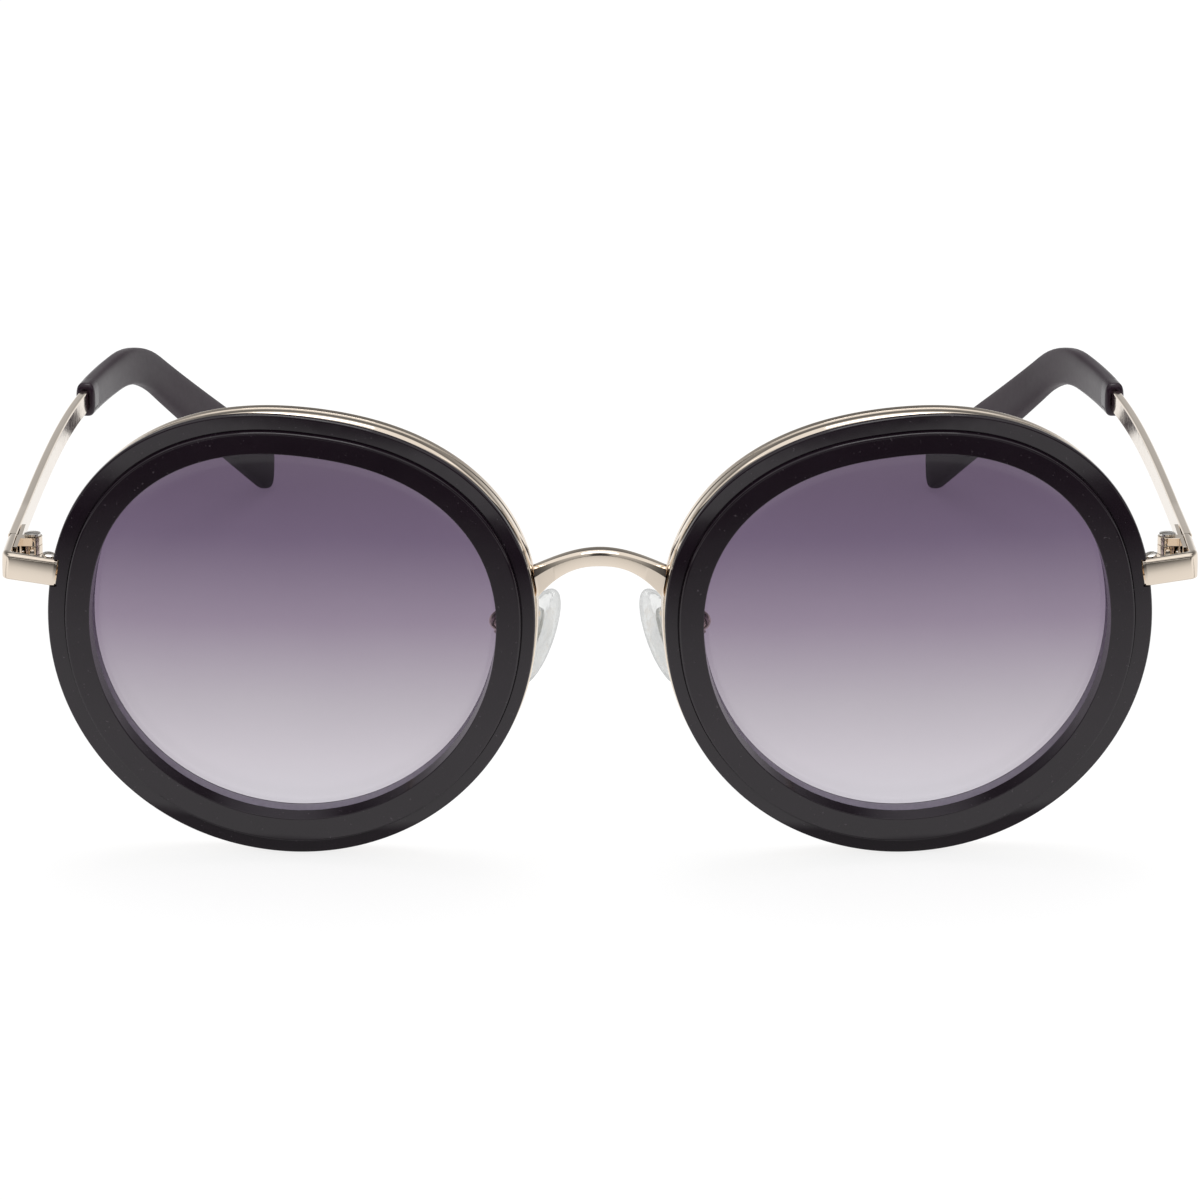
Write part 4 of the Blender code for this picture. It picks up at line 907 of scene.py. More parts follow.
def rim_tree():
    """Carries a profile round a rim. The rim is a line of points, each with its spread: how far and which way
    it moves for each metre that the rim grows. The profile's X is that growth and its Y the depth backwards.
    Where the profile's attribute overhanging is 1, it grows by the rim point's overhang as well."""
    tree, given, result = geometry_tree("profile_round_rim", (
        ("Profile", "NodeSocketObject"),
        ("Corner segments", "NodeSocketInt"),
        ("Closed", "NodeSocketInt"),
        ("Finish", "NodeSocketMaterial"),
    ))
    source = add(tree, "GeometryNodeObjectInfo", {"Object": given.outputs["Profile"]})
    curve = add(tree, "GeometryNodeMeshToCurve", {"Mesh": source.outputs["Geometry"]})
    radius = add(tree, "GeometryNodeInputNamedAttribute", {"Name": "radius_of_corner"}, data_type="FLOAT")
    filleted = add(tree, "GeometryNodeFilletCurve", {
        "Curve": curve.outputs["Curve"], "Count": given.outputs["Corner segments"],
        "Radius": radius.outputs["Attribute"], "Limit Radius": True}, mode="POLY")
    profile = filleted.outputs["Curve"]
    rim = given.outputs["Geometry"]
    profile_size = add(tree, "GeometryNodeAttributeDomainSize", {"Geometry": profile}, component="CURVE")
    rim_size = add(tree, "GeometryNodeAttributeDomainSize", {"Geometry": rim}, component="MESH")
    corners = profile_size.outputs["Point Count"]
    stations = rim_size.outputs["Point Count"]
    columns = add(tree, "FunctionNodeIntegerMath", {0: corners, 1: 1}, operation="ADD").outputs[0]
    closed = given.outputs["Closed"]
    rows = add(tree, "FunctionNodeIntegerMath", {0: stations, 1: closed}, operation="ADD").outputs[0]
    grid = add(tree, "GeometryNodeMeshGrid", {"Vertices X": rows, "Vertices Y": columns})
    index = add(tree, "GeometryNodeInputIndex").outputs["Index"]
    row = add(tree, "FunctionNodeIntegerMath", {0: index, 1: columns}, operation="DIVIDE_FLOOR").outputs[0]
    station = add(tree, "FunctionNodeIntegerMath", {0: row, 1: stations}, operation="MODULO").outputs[0]
    column = add(tree, "FunctionNodeIntegerMath", {0: index, 1: columns}, operation="MODULO").outputs[0]
    corner = add(tree, "FunctionNodeIntegerMath", {0: column, 1: corners}, operation="MODULO").outputs[0]
    position = add(tree, "GeometryNodeInputPosition").outputs["Position"]
    spread = add(tree, "GeometryNodeInputNamedAttribute", {"Name": "spread"}, data_type="FLOAT_VECTOR")
    rim_at = add(tree, "GeometryNodeSampleIndex", {
        "Geometry": rim, "Value": position, "Index": station}, data_type="FLOAT_VECTOR")
    spread_at = add(tree, "GeometryNodeSampleIndex", {
        "Geometry": rim, "Value": spread.outputs["Attribute"], "Index": station}, data_type="FLOAT_VECTOR")
    profile_at = add(tree, "GeometryNodeSampleIndex", {
        "Geometry": profile, "Value": position, "Index": corner}, data_type="FLOAT_VECTOR")
    parts = add(tree, "ShaderNodeSeparateXYZ", {"Vector": profile_at.outputs["Value"]})
    overhang = add(tree, "GeometryNodeInputNamedAttribute", {"Name": "overhang"}, data_type="FLOAT")
    overhang_at = add(tree, "GeometryNodeSampleIndex", {
        "Geometry": rim, "Value": overhang.outputs["Attribute"], "Index": station}, data_type="FLOAT")
    hanging = add(tree, "GeometryNodeInputNamedAttribute", {"Name": "overhanging"}, data_type="FLOAT")
    hanging_at = add(tree, "GeometryNodeSampleIndex", {
        "Geometry": profile, "Value": hanging.outputs["Attribute"], "Index": corner}, data_type="FLOAT")
    growth = add(tree, "ShaderNodeMath", {
        0: overhang_at.outputs["Value"], 1: hanging_at.outputs["Value"], 2: parts.outputs["X"]},
        operation="MULTIPLY_ADD")
    grown = add(tree, "ShaderNodeVectorMath", {
        0: spread_at.outputs["Value"], "Scale": growth.outputs["Value"]}, operation="SCALE")
    deep = add(tree, "ShaderNodeCombineXYZ", {"Y": parts.outputs["Y"]})
    offset = add(tree, "ShaderNodeVectorMath", {0: grown.outputs["Vector"], 1: deep.outputs["Vector"]})
    place = add(tree, "ShaderNodeVectorMath", {0: rim_at.outputs["Value"], 1: offset.outputs["Vector"]})
    placed = add(tree, "GeometryNodeSetPosition", {
        "Geometry": grid.outputs["Mesh"], "Position": place.outputs["Vector"]})
    merged = add(tree, "GeometryNodeMergeByDistance", {
        "Geometry": placed.outputs["Geometry"], "Distance": MERGE_DISTANCE})
    real = add(tree, "GeometryNodeRealizeInstances", {"Geometry": merged.outputs["Geometry"]})
    done = add(tree, "GeometryNodeSetMaterial", {
        "Geometry": real.outputs["Geometry"], "Material": given.outputs["Finish"]})
    tree.links.new(done.outputs["Geometry"], result.inputs["Geometry"])
    return tree


def swept_rim(name, side, angles, closed, corners, material, overhangs=(), overhanging=()):
    """A mesh of a profile, given as (growth, depth, radius) corners, carried round a rim. Overhangs gives the
    overhang at each angle, and overhanging the numbers of the corners that follow it."""
    rim = bpy.data.meshes.new(f"{name}_line")
    points = [rim_point(side, angle, 0, 0) for angle in angles]
    rim.from_pydata(points, [(index, index + 1) for index in range(len(points) - 1)], [])
    spread = rim.attributes.new("spread", "FLOAT_VECTOR", "POINT")
    for item, angle, point in zip(spread.data, angles, points):
        item.vector = (rim_point(side, angle, BAND_WIDTH, 0) - point) / BAND_WIDTH
    if overhangs:
        rim.attributes.new("overhang", "FLOAT", "POINT").data.foreach_set("value", overhangs)
    section = bpy.data.meshes.new(f"{name}_section")
    count = len(corners)
    section.from_pydata([(x, y, 0) for x, y, _ in corners], [(i, (i + 1) % count) for i in range(count)], [])
    radius = section.attributes.new("radius_of_corner", "FLOAT", "POINT")
    for item, corner in zip(radius.data, corners):
        item.value = corner[2]
    hanging = section.attributes.new("overhanging", "FLOAT", "POINT")
    for number in overhanging:
        hanging.data[number].value = 1
    profile = new_object(f"{name}_profile", section)
    obj = new_object(name, rim)
    tree = bpy.data.node_groups.get("profile_round_rim") or rim_tree()
    modifier = obj.modifiers.new("profile round rim", "NODES")
    modifier.node_group = tree
    node_input(modifier, "Profile", profile)
    node_input(modifier, "Corner segments", ARC_STEPS)
    node_input(modifier, "Closed", 1 if closed else 0)
    node_input(modifier, "Finish", finish(material))
    mesh = plain_mesh(obj)
    bpy.data.objects.remove(profile, do_unlink=True)
    return outwards(mesh)


def screw_tree():
    """Puts a slotted screw on each point, turned by the point's attribute turn. A head rests on its point."""
    tree, given, result = geometry_tree("slotted_screws", (
        ("Shank radius", "NodeSocketFloat"),
        ("Shank length", "NodeSocketFloat"),
        ("Head radius", "NodeSocketFloat"),
        ("Head height", "NodeSocketFloat"),
        ("Crown", "NodeSocketFloat"),
        ("Slot width", "NodeSocketFloat"),
        ("Slot depth", "NodeSocketFloat"),
        ("Finish", "NodeSocketMaterial"),
    ))
    head_radius = given.outputs["Head radius"]
    head_height = given.outputs["Head height"]
    crown = given.outputs["Crown"]
    disc = add(tree, "GeometryNodeMeshCylinder", {
        "Vertices": SCREW_SIDES, "Fill Segments": 8, "Radius": head_radius, "Depth": head_height})
    half = add(tree, "ShaderNodeMath", {0: head_height, 1: 0.5}, operation="MULTIPLY").outputs["Value"]
    lift = add(tree, "ShaderNodeCombineXYZ", {"Z": half})
    raised = add(tree, "GeometryNodeTransform", {
        "Geometry": disc.outputs["Mesh"], "Translation": lift.outputs["Vector"]})
    position = add(tree, "GeometryNodeInputPosition").outputs["Position"]
    parts = add(tree, "ShaderNodeSeparateXYZ", {"Vector": position})
    flat = add(tree, "ShaderNodeCombineXYZ", {"X": parts.outputs["X"], "Y": parts.outputs["Y"]})
    reach = add(tree, "ShaderNodeVectorMath", {0: flat.outputs["Vector"]}, operation="LENGTH")
    share = add(tree, "ShaderNodeMath", {
        0: reach.outputs["Value"], 1: head_radius}, operation="DIVIDE").outputs["Value"]
    fall = add(tree, "ShaderNodeMath", {0: share, 1: 3.0}, operation="POWER").outputs["Value"]
    drop = add(tree, "ShaderNodeMath", {0: fall, 1: crown}, operation="MULTIPLY").outputs["Value"]
    down = add(tree, "ShaderNodeMath", {0: 0.0, 1: drop}, operation="SUBTRACT").outputs["Value"]
    sink = add(tree, "ShaderNodeCombineXYZ", {"Z": down})
    top = add(tree, "FunctionNodeCompare", {"A": parts.outputs["Z"], "B": half}, operation="GREATER_THAN")
    crowned = add(tree, "GeometryNodeSetPosition", {
        "Geometry": raised.outputs["Geometry"], "Selection": top.outputs["Result"],
        "Offset": sink.outputs["Vector"]})
    length = add(tree, "ShaderNodeMath", {0: head_radius, 1: 4.0}, operation="MULTIPLY").outputs["Value"]
    cut = add(tree, "ShaderNodeMath", {0: given.outputs["Slot depth"], 1: 2.0}, operation="MULTIPLY")
    bar_size = add(tree, "ShaderNodeCombineXYZ", {
        "X": length, "Y": given.outputs["Slot width"], "Z": cut.outputs["Value"]})
    bar = add(tree, "GeometryNodeMeshCube", {"Size": bar_size.outputs["Vector"]})
    bar_lift = add(tree, "ShaderNodeCombineXYZ", {"Z": head_height})
    bar_high = add(tree, "GeometryNodeTransform", {
        "Geometry": bar.outputs["Mesh"], "Translation": bar_lift.outputs["Vector"]})
    slotted = add(tree, "GeometryNodeMeshBoolean", {
        "Mesh 1": crowned.outputs["Geometry"], "Mesh 2": bar_high.outputs["Geometry"]},
        operation="DIFFERENCE", solver="EXACT")
    shank = add(tree, "GeometryNodeMeshCylinder", {
        "Vertices": SCREW_SIDES, "Radius": given.outputs["Shank radius"],
        "Depth": given.outputs["Shank length"]})
    deep = add(tree, "ShaderNodeMath", {0: given.outputs["Shank length"], 1: -0.5}, operation="MULTIPLY")
    shank_drop = add(tree, "ShaderNodeCombineXYZ", {"Z": deep.outputs["Value"]})
    shank_low = add(tree, "GeometryNodeTransform", {
        "Geometry": shank.outputs["Mesh"], "Translation": shank_drop.outputs["Vector"]})
    screw = add(tree, "GeometryNodeJoinGeometry")
    tree.links.new(slotted.outputs["Mesh"], screw.inputs["Geometry"])
    tree.links.new(shank_low.outputs["Geometry"], screw.inputs["Geometry"])
    turn = add(tree, "GeometryNodeInputNamedAttribute", {"Name": "turn"}, data_type="FLOAT_VECTOR")
    rotation = add(tree, "FunctionNodeEulerToRotation", {"Euler": turn.outputs["Attribute"]})
    placed = add(tree, "GeometryNodeInstanceOnPoints", {
        "Points": given.outputs["Geometry"], "Instance": screw.outputs["Geometry"],
        "Rotation": rotation.outputs["Rotation"]})
    real = add(tree, "GeometryNodeRealizeInstances", {"Geometry": placed.outputs["Instances"]})
    done = add(tree, "GeometryNodeSetMaterial", {
        "Geometry": real.outputs["Geometry"], "Material": given.outputs["Finish"]})
    tree.links.new(done.outputs["Geometry"], result.inputs["Geometry"])
    return tree


def screws(name, places, sizes, *nodes):
    """One piece of all screws of a kind, a screw for each place."""
    metal = settings().metal
    points = bpy.data.meshes.new(f"{name}_points")
    points.from_pydata([place.translation for place in places], [], [])
    turn = points.attributes.new("turn", "FLOAT_VECTOR", "POINT")
    for item, place in zip(turn.data, places):
        item.vector = place.to_euler()
    obj = new_object(name, points)
    modifier = obj.modifiers.new("slotted screws", "NODES")
    modifier.node_group = bpy.data.node_groups.get("slotted_screws") or screw_tree()
    for label, value in sizes.items():
        node_input(modifier, label, value)
    node_input(modifier, "Slot width", metal.slot_width)
    node_input(modifier, "Slot depth", metal.slot_depth)
    node_input(modifier, "Finish", finish("turned_steel"))
    show(name, outwards(plain_mesh(obj)), "turned_steel", "front", "steel", *nodes)


# Pieces

class SUNGLASSES_OT_acetate_rings(bpy.types.Operator):
    """Carries the ring's profile round each opening and cuts the notch for the end piece"""
    bl_idname = "sunglasses.acetate_rings"
    bl_label = "Acetate rings"

    def execute(self, context):
        rims = settings().rims
        small = rims.inner_edge / 2
        foot = RAISED_WIDTH + rims.groove_width
        floor = STEP_DEPTH + rims.groove_depth
        groove_front = LENS_RECESS
        groove_back = LENS_RECESS + LENS_THICKNESS + 2 * FIT_GAP
        inset = LENS_THICKNESS / 4
        rim_edge = BAND_WIDTH - FIT_GAP
        corners = [
            (rims.draft, 0, rims.inner_edge),
            (RAISED_WIDTH, 0, rims.outer_edge),
            (RAISED_WIDTH, floor, small),
            (foot, floor, small),
            (foot, STEP_DEPTH, small),
            (rim_edge, STEP_DEPTH + rims.lip_fall, rims.lip_edge),
            (rim_edge, LIP_BACK, small),
            (INSERT_OUTER, LIP_BACK, small),
            (INSERT_OUTER, RIDGE_DEPTH - INSERT_RIDGE, 0),
            (INSERT_OUTER + INSERT_RIDGE, RIDGE_DEPTH, 0),
            (INSERT_OUTER, RIDGE_DEPTH + INSERT_RIDGE, 0),
            (INSERT_OUTER, RING_DEPTH, small),
            (rims.rear_flare, RING_DEPTH, small),
            (0, groove_back, 0),
            (LENS_GROOVE, groove_back - inset, 0),
            (LENS_GROOVE, groove_front + inset, 0),
            (0, groove_front, 0),
        ]
        lip_corners = (5, 6)
        angles = [FULL_TURN * step / RIM_STEPS for step in range(RIM_STEPS)]
        overhangs = [rims.overhang + rims.side_overhang * math.cos(angle + OPENING_ROLL) for angle in angles]
        for name, side in SIDES:
            piece = f"polished_ring_{name}"
            mesh = swept_rim(
                piece, side, angles, True, corners, "polished_black_acetate", overhangs, lip_corners)
            ring = new_object(piece, mesh)
            cutter = new_object(f"notch_{name}", mesh_of(self.notch(side), "notch"))
            cut = ring.modifiers.new("notch", "BOOLEAN")
            cut.operation = "DIFFERENCE"
            cut.solver = "EXACT"
            cut.object = cutter
            mesh = plain_mesh(ring)
            bpy.data.objects.remove(cutter, do_unlink=True)
            mesh.transform(eye_place(side))
            show(piece, mesh, "polished_black_acetate", "front", "black_acetate", f"acetate_ring_{name}")
        return {"FINISHED"}

    def notch(self, side):
        """The gap in the lip that the end piece's tongue lies in, shallow where the tongue leaves a slit."""
        half = END_HEIGHT / 2 + NOTCH_SIDE_GAP
        corners = [
            side * outline(angle_at(END_RISE + edge, BAND_WIDTH), BAND_WIDTH)[0] for edge in (-half, half)
        ]
        reach = max(corners, key=abs) + side * MM
        slope = [x - side * NOTCH_DEPTH for x in corners]
        slit_floor = TONGUE_FRONT + END_TONGUE_THICKNESS / 3
        levels = ((-MM, 0), (slit_floor, 0), (slit_floor + SEAT_GAP / 2, TONGUE_GAP - SEAT_GAP),
                  (LIP_BACK + SEAT_GAP / 2, TONGUE_GAP - SEAT_GAP))
        return loft([[
            Vector((slope[0] + side * inset, depth, END_RISE - half)),
            Vector((reach, depth, END_RISE - half)),
            Vector((reach, depth, END_RISE + half)),
            Vector((slope[1] + side * inset, depth, END_RISE + half)),
        ] for depth, inset in levels])


class SUNGLASSES_OT_eyewires(bpy.types.Operator):
    """Carries the metal rim's profile round each ring, open at the rim lock"""
    bl_idname = "sunglasses.eyewires"
    bl_label = "Metal rims"

    def execute(self, context):
        rims = settings().rims
        outer = BAND_WIDTH
        middle = EYEWIRE_FRONT + EYEWIRE_DEPTH * EYEWIRE_LINE_SHARE
        groove = INSERT_RIDGE + FIT_GAP
        small = rims.line_width / 5
        corners = [
            (EYEWIRE_INNER, EYEWIRE_FRONT, small),
            (outer, EYEWIRE_FRONT, rims.bead_radius),
            (outer, middle - rims.line_width / 2, small),
            (outer - rims.line_depth, middle, small),
            (outer, middle + rims.line_width / 2, small),
            (outer, EYEWIRE_BACK, rims.bead_radius / 2),
            (EYEWIRE_INNER, EYEWIRE_BACK, small),
            (EYEWIRE_INNER, RIDGE_DEPTH + groove, 0),
            (EYEWIRE_INNER + INSERT_RIDGE, RIDGE_DEPTH, 0),
            (EYEWIRE_INNER, RIDGE_DEPTH - groove, 0),
        ]
        outer_corners = (1, 2, 3, 4, 5)
        start, stop = split_angles(RIM_SPLIT / 2)
        angles = [start + (stop - start) * step / RIM_STEPS for step in range(RIM_STEPS + 1)]
        thinning = [-rims.thinning * self.upper_outer(angle) for angle in angles]
        for name, side in SIDES:
            piece = f"metal_rim_{name}"
            mesh = swept_rim(
                piece, side, angles, False, corners, "pale_gold_plating", thinning, outer_corners)
            mesh.transform(eye_place(side))
            show(piece, mesh, "pale_gold_plating", "front", "pale_gold", f"eyewire_{name}")
        return {"FINISHED"}

    def upper_outer(self, angle):
        """1 halfway between the temple side and the top of the rim, falling to 0 at both."""
        within = angle % FULL_TURN
        return math.sin(2 * within) if within < math.pi / 2 else 0


class SUNGLASSES_OT_lenses(bpy.types.Operator):
    """Makes the domed lenses, each with its bevelled edge in the ring's groove"""
    bl_idname = "sunglasses.lenses"
    bl_label = "Lenses"

    def execute(self, context):
        for name, side in SIDES:
            piece = f"tinted_lens_{name}"
            mesh = mesh_of(self.lens(side), piece, eye_place(side))
            lens = show(piece, mesh, "gradient_tinted_lens", "front", "tinted_lens", f"lens_{name}")
            lens.data.materials.append(finish("ground_lens_edge"))
            # The three strips between the front and the back
            for strip in lens.data.polygons[(LENS_ROWS - 1) * RIM_STEPS:(LENS_ROWS + 2) * RIM_STEPS]:
                strip.material_index = 1
        return {"FINISHED"}

    def lens(self, side):
        front = LENS_RECESS + FIT_GAP / 4
        back = front + LENS_THICKNESS
        bevel = LENS_THICKNESS / 4
        angles = [FULL_TURN * step / RIM_STEPS for step in range(RIM_STEPS)]
        shares = [row / LENS_ROWS for row in range(1, LENS_ROWS + 1)]

        def face_loop(share, depth):
            dome = depth - LENS_BULGE * (1 - share ** 2)
            points = [rim_point(side, angle, 0, 0) for angle in angles]
            return [Vector((point.x * share, dome, point.z * share)) for point in points]

        def edge_loop(depth):
            return [rim_point(side, angle, LENS_GROOVE - FIT_GAP, depth) for angle in angles]

        loops = [face_loop(share, front) for share in shares]
        loops += [edge_loop(front + bevel), edge_loop(back - bevel)]
        loops += [face_loop(share, back) for share in reversed(shares)]
        shape = loft(loops, capped=False)
        shape.verts.ensure_lookup_table()
        for first, depth in ((0, front), (len(shape.verts) - RIM_STEPS, back)):
            middle = shape.verts.new((0, depth - LENS_BULGE, 0))
            shape.verts.ensure_lookup_table()
            ring = shape.verts[first:first + RIM_STEPS]
            for index in range(RIM_STEPS):
                shape.faces.new((ring[index], ring[(index + 1) % RIM_STEPS], middle))
        return shape


class SUNGLASSES_OT_bridge(bpy.types.Operator):
    """Makes the arched bar between the rims, with a steep facet above its face that widens to both ends"""
    bl_idname = "sunglasses.bridge"
    bl_label = "Bridge"

    def execute(self, context):
        end_bottom = BRIDGE_END_TOP - BRIDGE_END_HEIGHT
        seats = []
        for height in (BRIDGE_END_TOP, end_bottom):
            point = rim_point(1, angle_at(height, BAND_WIDTH, nasal=True), BAND_WIDTH, EYEWIRE_FRONT)
            seats.append(eye_matrix(1) @ point)
        top_reach, under_reach = [seat.x - 2 * SEAT_GAP for seat in seats]
        front = seats[0].y
        back = front + BRIDGE_DEPTH
        under_middle = BRIDGE_TOP - BRIDGE_MIDDLE_HEIGHT
        metal = settings().metal
        edge = metal.edge_radius
        roof_rise = metal.roof_depth * math.tan(ROOF_SLOPE)
        loops = []
        for step in range(BRIDGE_STATIONS):
            share = 2 * step / (BRIDGE_STATIONS - 1) - 1
            top = BRIDGE_END_TOP + (BRIDGE_TOP - BRIDGE_END_TOP) * math.cos(share * math.pi / 2)
            under = under_middle - (under_middle - end_bottom) * abs(share) ** BRIDGE_UNDER_POWER
            facet = metal.facet_middle + (metal.facet_end - metal.facet_middle) * abs(share) ** FACET_POWER
            inset = facet / math.tan(FACET_SLOPE)
            section = rounded([
                (front + metal.face_lean, under, edge * 0.7),
                (front, top - roof_rise - facet, edge * 0.3),
                (front + inset, top - roof_rise, edge * 0.3),
                (front + inset + metal.roof_depth, top, edge * 0.6),
                (back, top, edge * 0.6),
                (back, under, edge * 0.7),
            ])
            height = top - under
            loops.append([
                Vector((share * (under_reach + (top_reach - under_reach) * (z - under) / height), y, z))
                for y, z in section
            ])
        mesh = mesh_of(loft(loops), "arched_bridge", root_matrix() @ front_matrix())
        show("arched_bridge", mesh, "pale_gold_plating", "front", "pale_gold", "bridge")
        return {"FINISHED"}


class SUNGLASSES_OT_end_pieces(bpy.types.Operator):
    """Makes the flat bars from the rims round the corner to the hinges"""
    bl_idname = "sunglasses.end_pieces"
    bl_label = "End pieces"
    corner_steps = 12

    def execute(self, context):
        for name, side in SIDES:
            mesh = mesh_of(self.bar(side), f"corner_bar_{name}", root_matrix())
            show(f"corner_bar_{name}", mesh, "pale_gold_plating", "front", "pale_gold", f"end_piece_{name}")
        return {"FINISHED"}

    def bar(self, side):
        points, thicknesses, heading, _ = end_path(side, self.corner_steps)
        upper, lower = [
            worn_rim_point(side, END_RISE + reach, BAND_WIDTH, TONGUE_FRONT)
            for reach in (END_HEIGHT / 2, -END_HEIGHT / 2)
        ]
        rim_up = (upper - lower) / END_HEIGHT
        metal = settings().metal
        x, y = side / 2, END_HEIGHT / 2
        crown = side * metal.face_crown
        swell = y * y / (3 * metal.face_crown)
        last = len(points) - 1
        loops = []
        for index, (point, thickness) in enumerate(zip(points, thicknesses)):
            if index < 2:
                along = points[1] - points[0]
            elif index == last:
                along = Vector((0, 1, 0))
            else:
                along = heading.lerp(Vector((0, 1, 0)), (index - 2) / self.corner_steps)
            up = rim_up.lerp(Vector((0, 0, 1)), max(index - 1, 0) / (last - 1))
            across = along.cross(up).normalized()
            section = rounded([
                (x * thickness - crown, y, min(metal.shoulder_radius, thickness * 0.48)),
                (-x * thickness, y, metal.edge_radius),
                (-x * thickness, -y, metal.edge_radius),
                (x * thickness - crown, -y, metal.edge_radius),
                (x * thickness, 0, swell),
            ])
            loops.append([point + across * out + up * rise for out, rise in section])
        return loft(loops)


class SUNGLASSES_OT_hinges(bpy.types.Operator):
    """Gives the hinge leaves and rim locks their broken edges"""
    bl_idname = "sunglasses.hinges"
    bl_label = "Hinges and rim locks"

    def execute(self, context):
        width = settings().metal.small_edge
        for name, _ in SIDES:
            places = (
                ("hinge_front", "front_leaf", "front"),
                ("hinge_temple", "temple_leaf", f"temple_{name}"),
                ("rim_lock_upper", "upper_lock_block", "front"),
                ("rim_lock_lower", "lower_lock_block", "front"),
            )
            for node, piece, body in places:
                mesh = softened(f"{piece}_{name}", f"{node}_{name}", width)
                show(f"{piece}_{name}", mesh, "pale_gold_plating", body, "pale_gold", f"{node}_{name}")
        return {"FINISHED"}


class SUNGLASSES_OT_screws(bpy.types.Operator):
    """Puts slotted screws in the rim locks, the hinges and the nose pads"""
    bl_idname = "sunglasses.screws"
    bl_label = "Screws"

    def execute(self, context):
        # The lock blocks fan out with the rim, so their outer edges stand higher under the screw's head
        lock_lift = LOCK_HEAD_RADIUS * LOCK_HEIGHT / OPENING_HALF_WIDTH
        lock_seat = LOCK_HEIGHT + RIM_SPLIT / 2 + SEAT_GAP + lock_lift
        hinge_seat = KNUCKLE_STACK / 2 + SEAT_GAP
        pad_seat = PAD_BOSS_THICKNESS / 2 + PAD_BOX_WALL + 2 * SEAT_GAP
        lying = Matrix.Rotation(-math.pi / 2, 4, "X")
        kinds = (
            ("lock_screws", "rim_lock_screw", lock_place, lock_seat,
             LOCK_SCREW_RADIUS, 2 * LOCK_HEIGHT + RIM_SPLIT, LOCK_HEAD_RADIUS, LOCK_HEAD_HEIGHT, 35),
            ("hinge_pins", "hinge_screw", hinge_place, hinge_seat,
             HINGE_SCREW_RADIUS, KNUCKLE_STACK + SEAT_GAP, HINGE_HEAD_RADIUS, HINGE_HEAD_HEIGHT, 20),
            ("pad_pins", "pad_screw", lambda side: pad_place(side) @ lying, pad_seat,
             PAD_SCREW_RADIUS, 2 * pad_seat, PAD_HEAD_RADIUS, PAD_HEAD_HEIGHT, 60),
        )
        for name, node, place, seat, radius, length, head_radius, head_height, slot_turn in kinds:
            turned = Matrix.Translation((0, 0, seat)) @ Matrix.Rotation(math.radians(slot_turn), 4, "Z")
            sizes = {
                "Shank radius": radius, "Shank length": length, "Head radius": head_radius,
                "Head height": head_height, "Crown": head_height * HEAD_CROWN_SHARE,
            }
            nodes = [f"{node}_{label}" for label, _ in SIDES]
            screws(name, [place(side) @ turned for _, side in SIDES], sizes, *nodes)
        return {"FINISHED"}


def temple_station(side, run):
    """Centre, half-thickness direction and up direction of the temple at a run from its hinge."""
    bend_stop = TEMPLE_BEND_RUN + TEMPLE_BEND_RADIUS * TEMPLE_DROP
    angle = min(max(run - TEMPLE_BEND_RUN, 0) / TEMPLE_BEND_RADIUS, TEMPLE_DROP)
    back = min(run, TEMPLE_BEND_RUN) + TEMPLE_BEND_RADIUS * math.sin(angle)
    down = TEMPLE_BEND_RADIUS * (1 - math.cos(angle))
    straight = max(run - bend_stop, 0)
    back += straight * math.cos(angle)
    down += straight * math.sin(angle)
    beyond = back - TEMPLE_INWARD_RUN
    soft = math.hypot(beyond, TEMPLE_INWARD_SOFTNESS)
    soft_at_hinge = math.hypot(TEMPLE_INWARD_RUN, TEMPLE_INWARD_SOFTNESS)
    half_slope = math.tan(TEMPLE_INWARD_TURN) / 2
    inset = half_slope * (back + soft - soft_at_hinge)
    slope = half_slope * (1 + beyond / soft)
    outward = HINGE_STANDOFF + TEMPLE_THICKNESS / 2 - inset
    along = Vector((-side * slope * math.cos(angle), math.cos(angle), -math.sin(angle))).normalized()
    up = Vector((0, math.sin(angle), math.cos(angle)))
    across = along.cross(up).normalized()
    return Vector((side * outward, back, -down)), across, up


def temple_loop(side, run, section):
    centre, across, up = temple_station(side, run)
    return [centre + across * x + up * z for x, z in section]


class SUNGLASSES_OT_temple_bars(bpy.types.Operator):
    """Makes the flat metal temples and the thinner cores inside their tips"""
    bl_idname = "sunglasses.temple_bars"
    bl_label = "Temple bars"

    def execute(self, context):
        radius = settings().metal.edge_radius
        start = HINGE_BEFORE_SEAM
        shoulder = TIP_START_RUN - SEAT_GAP
        stop = TIP_START_RUN + CORE_LENGTH
        for name, side in SIDES:
            loops = []
            for step in range(BAR_STATIONS + 1):
                run = start + (shoulder - start) * step / BAR_STATIONS
                share = min((run - start) / TEMPLE_TAPER_LENGTH, 1)
                height = END_HEIGHT + (TEMPLE_HEIGHT - END_HEIGHT) * share
                loops.append(temple_loop(side, run, bar_section(TEMPLE_THICKNESS, height, radius)))
            for run in (shoulder, (shoulder + stop) / 2, stop):
                loops.append(temple_loop(side, run, bar_section(CORE_THICKNESS, CORE_HEIGHT, radius)))
            mesh = mesh_of(loft(loops), f"flat_temple_{name}", hinge_place(side))
            show(f"flat_temple_{name}", mesh, "pale_gold_plating", f"temple_{name}", "pale_gold",
                 f"temple_bar_{name}")
        return {"FINISHED"}


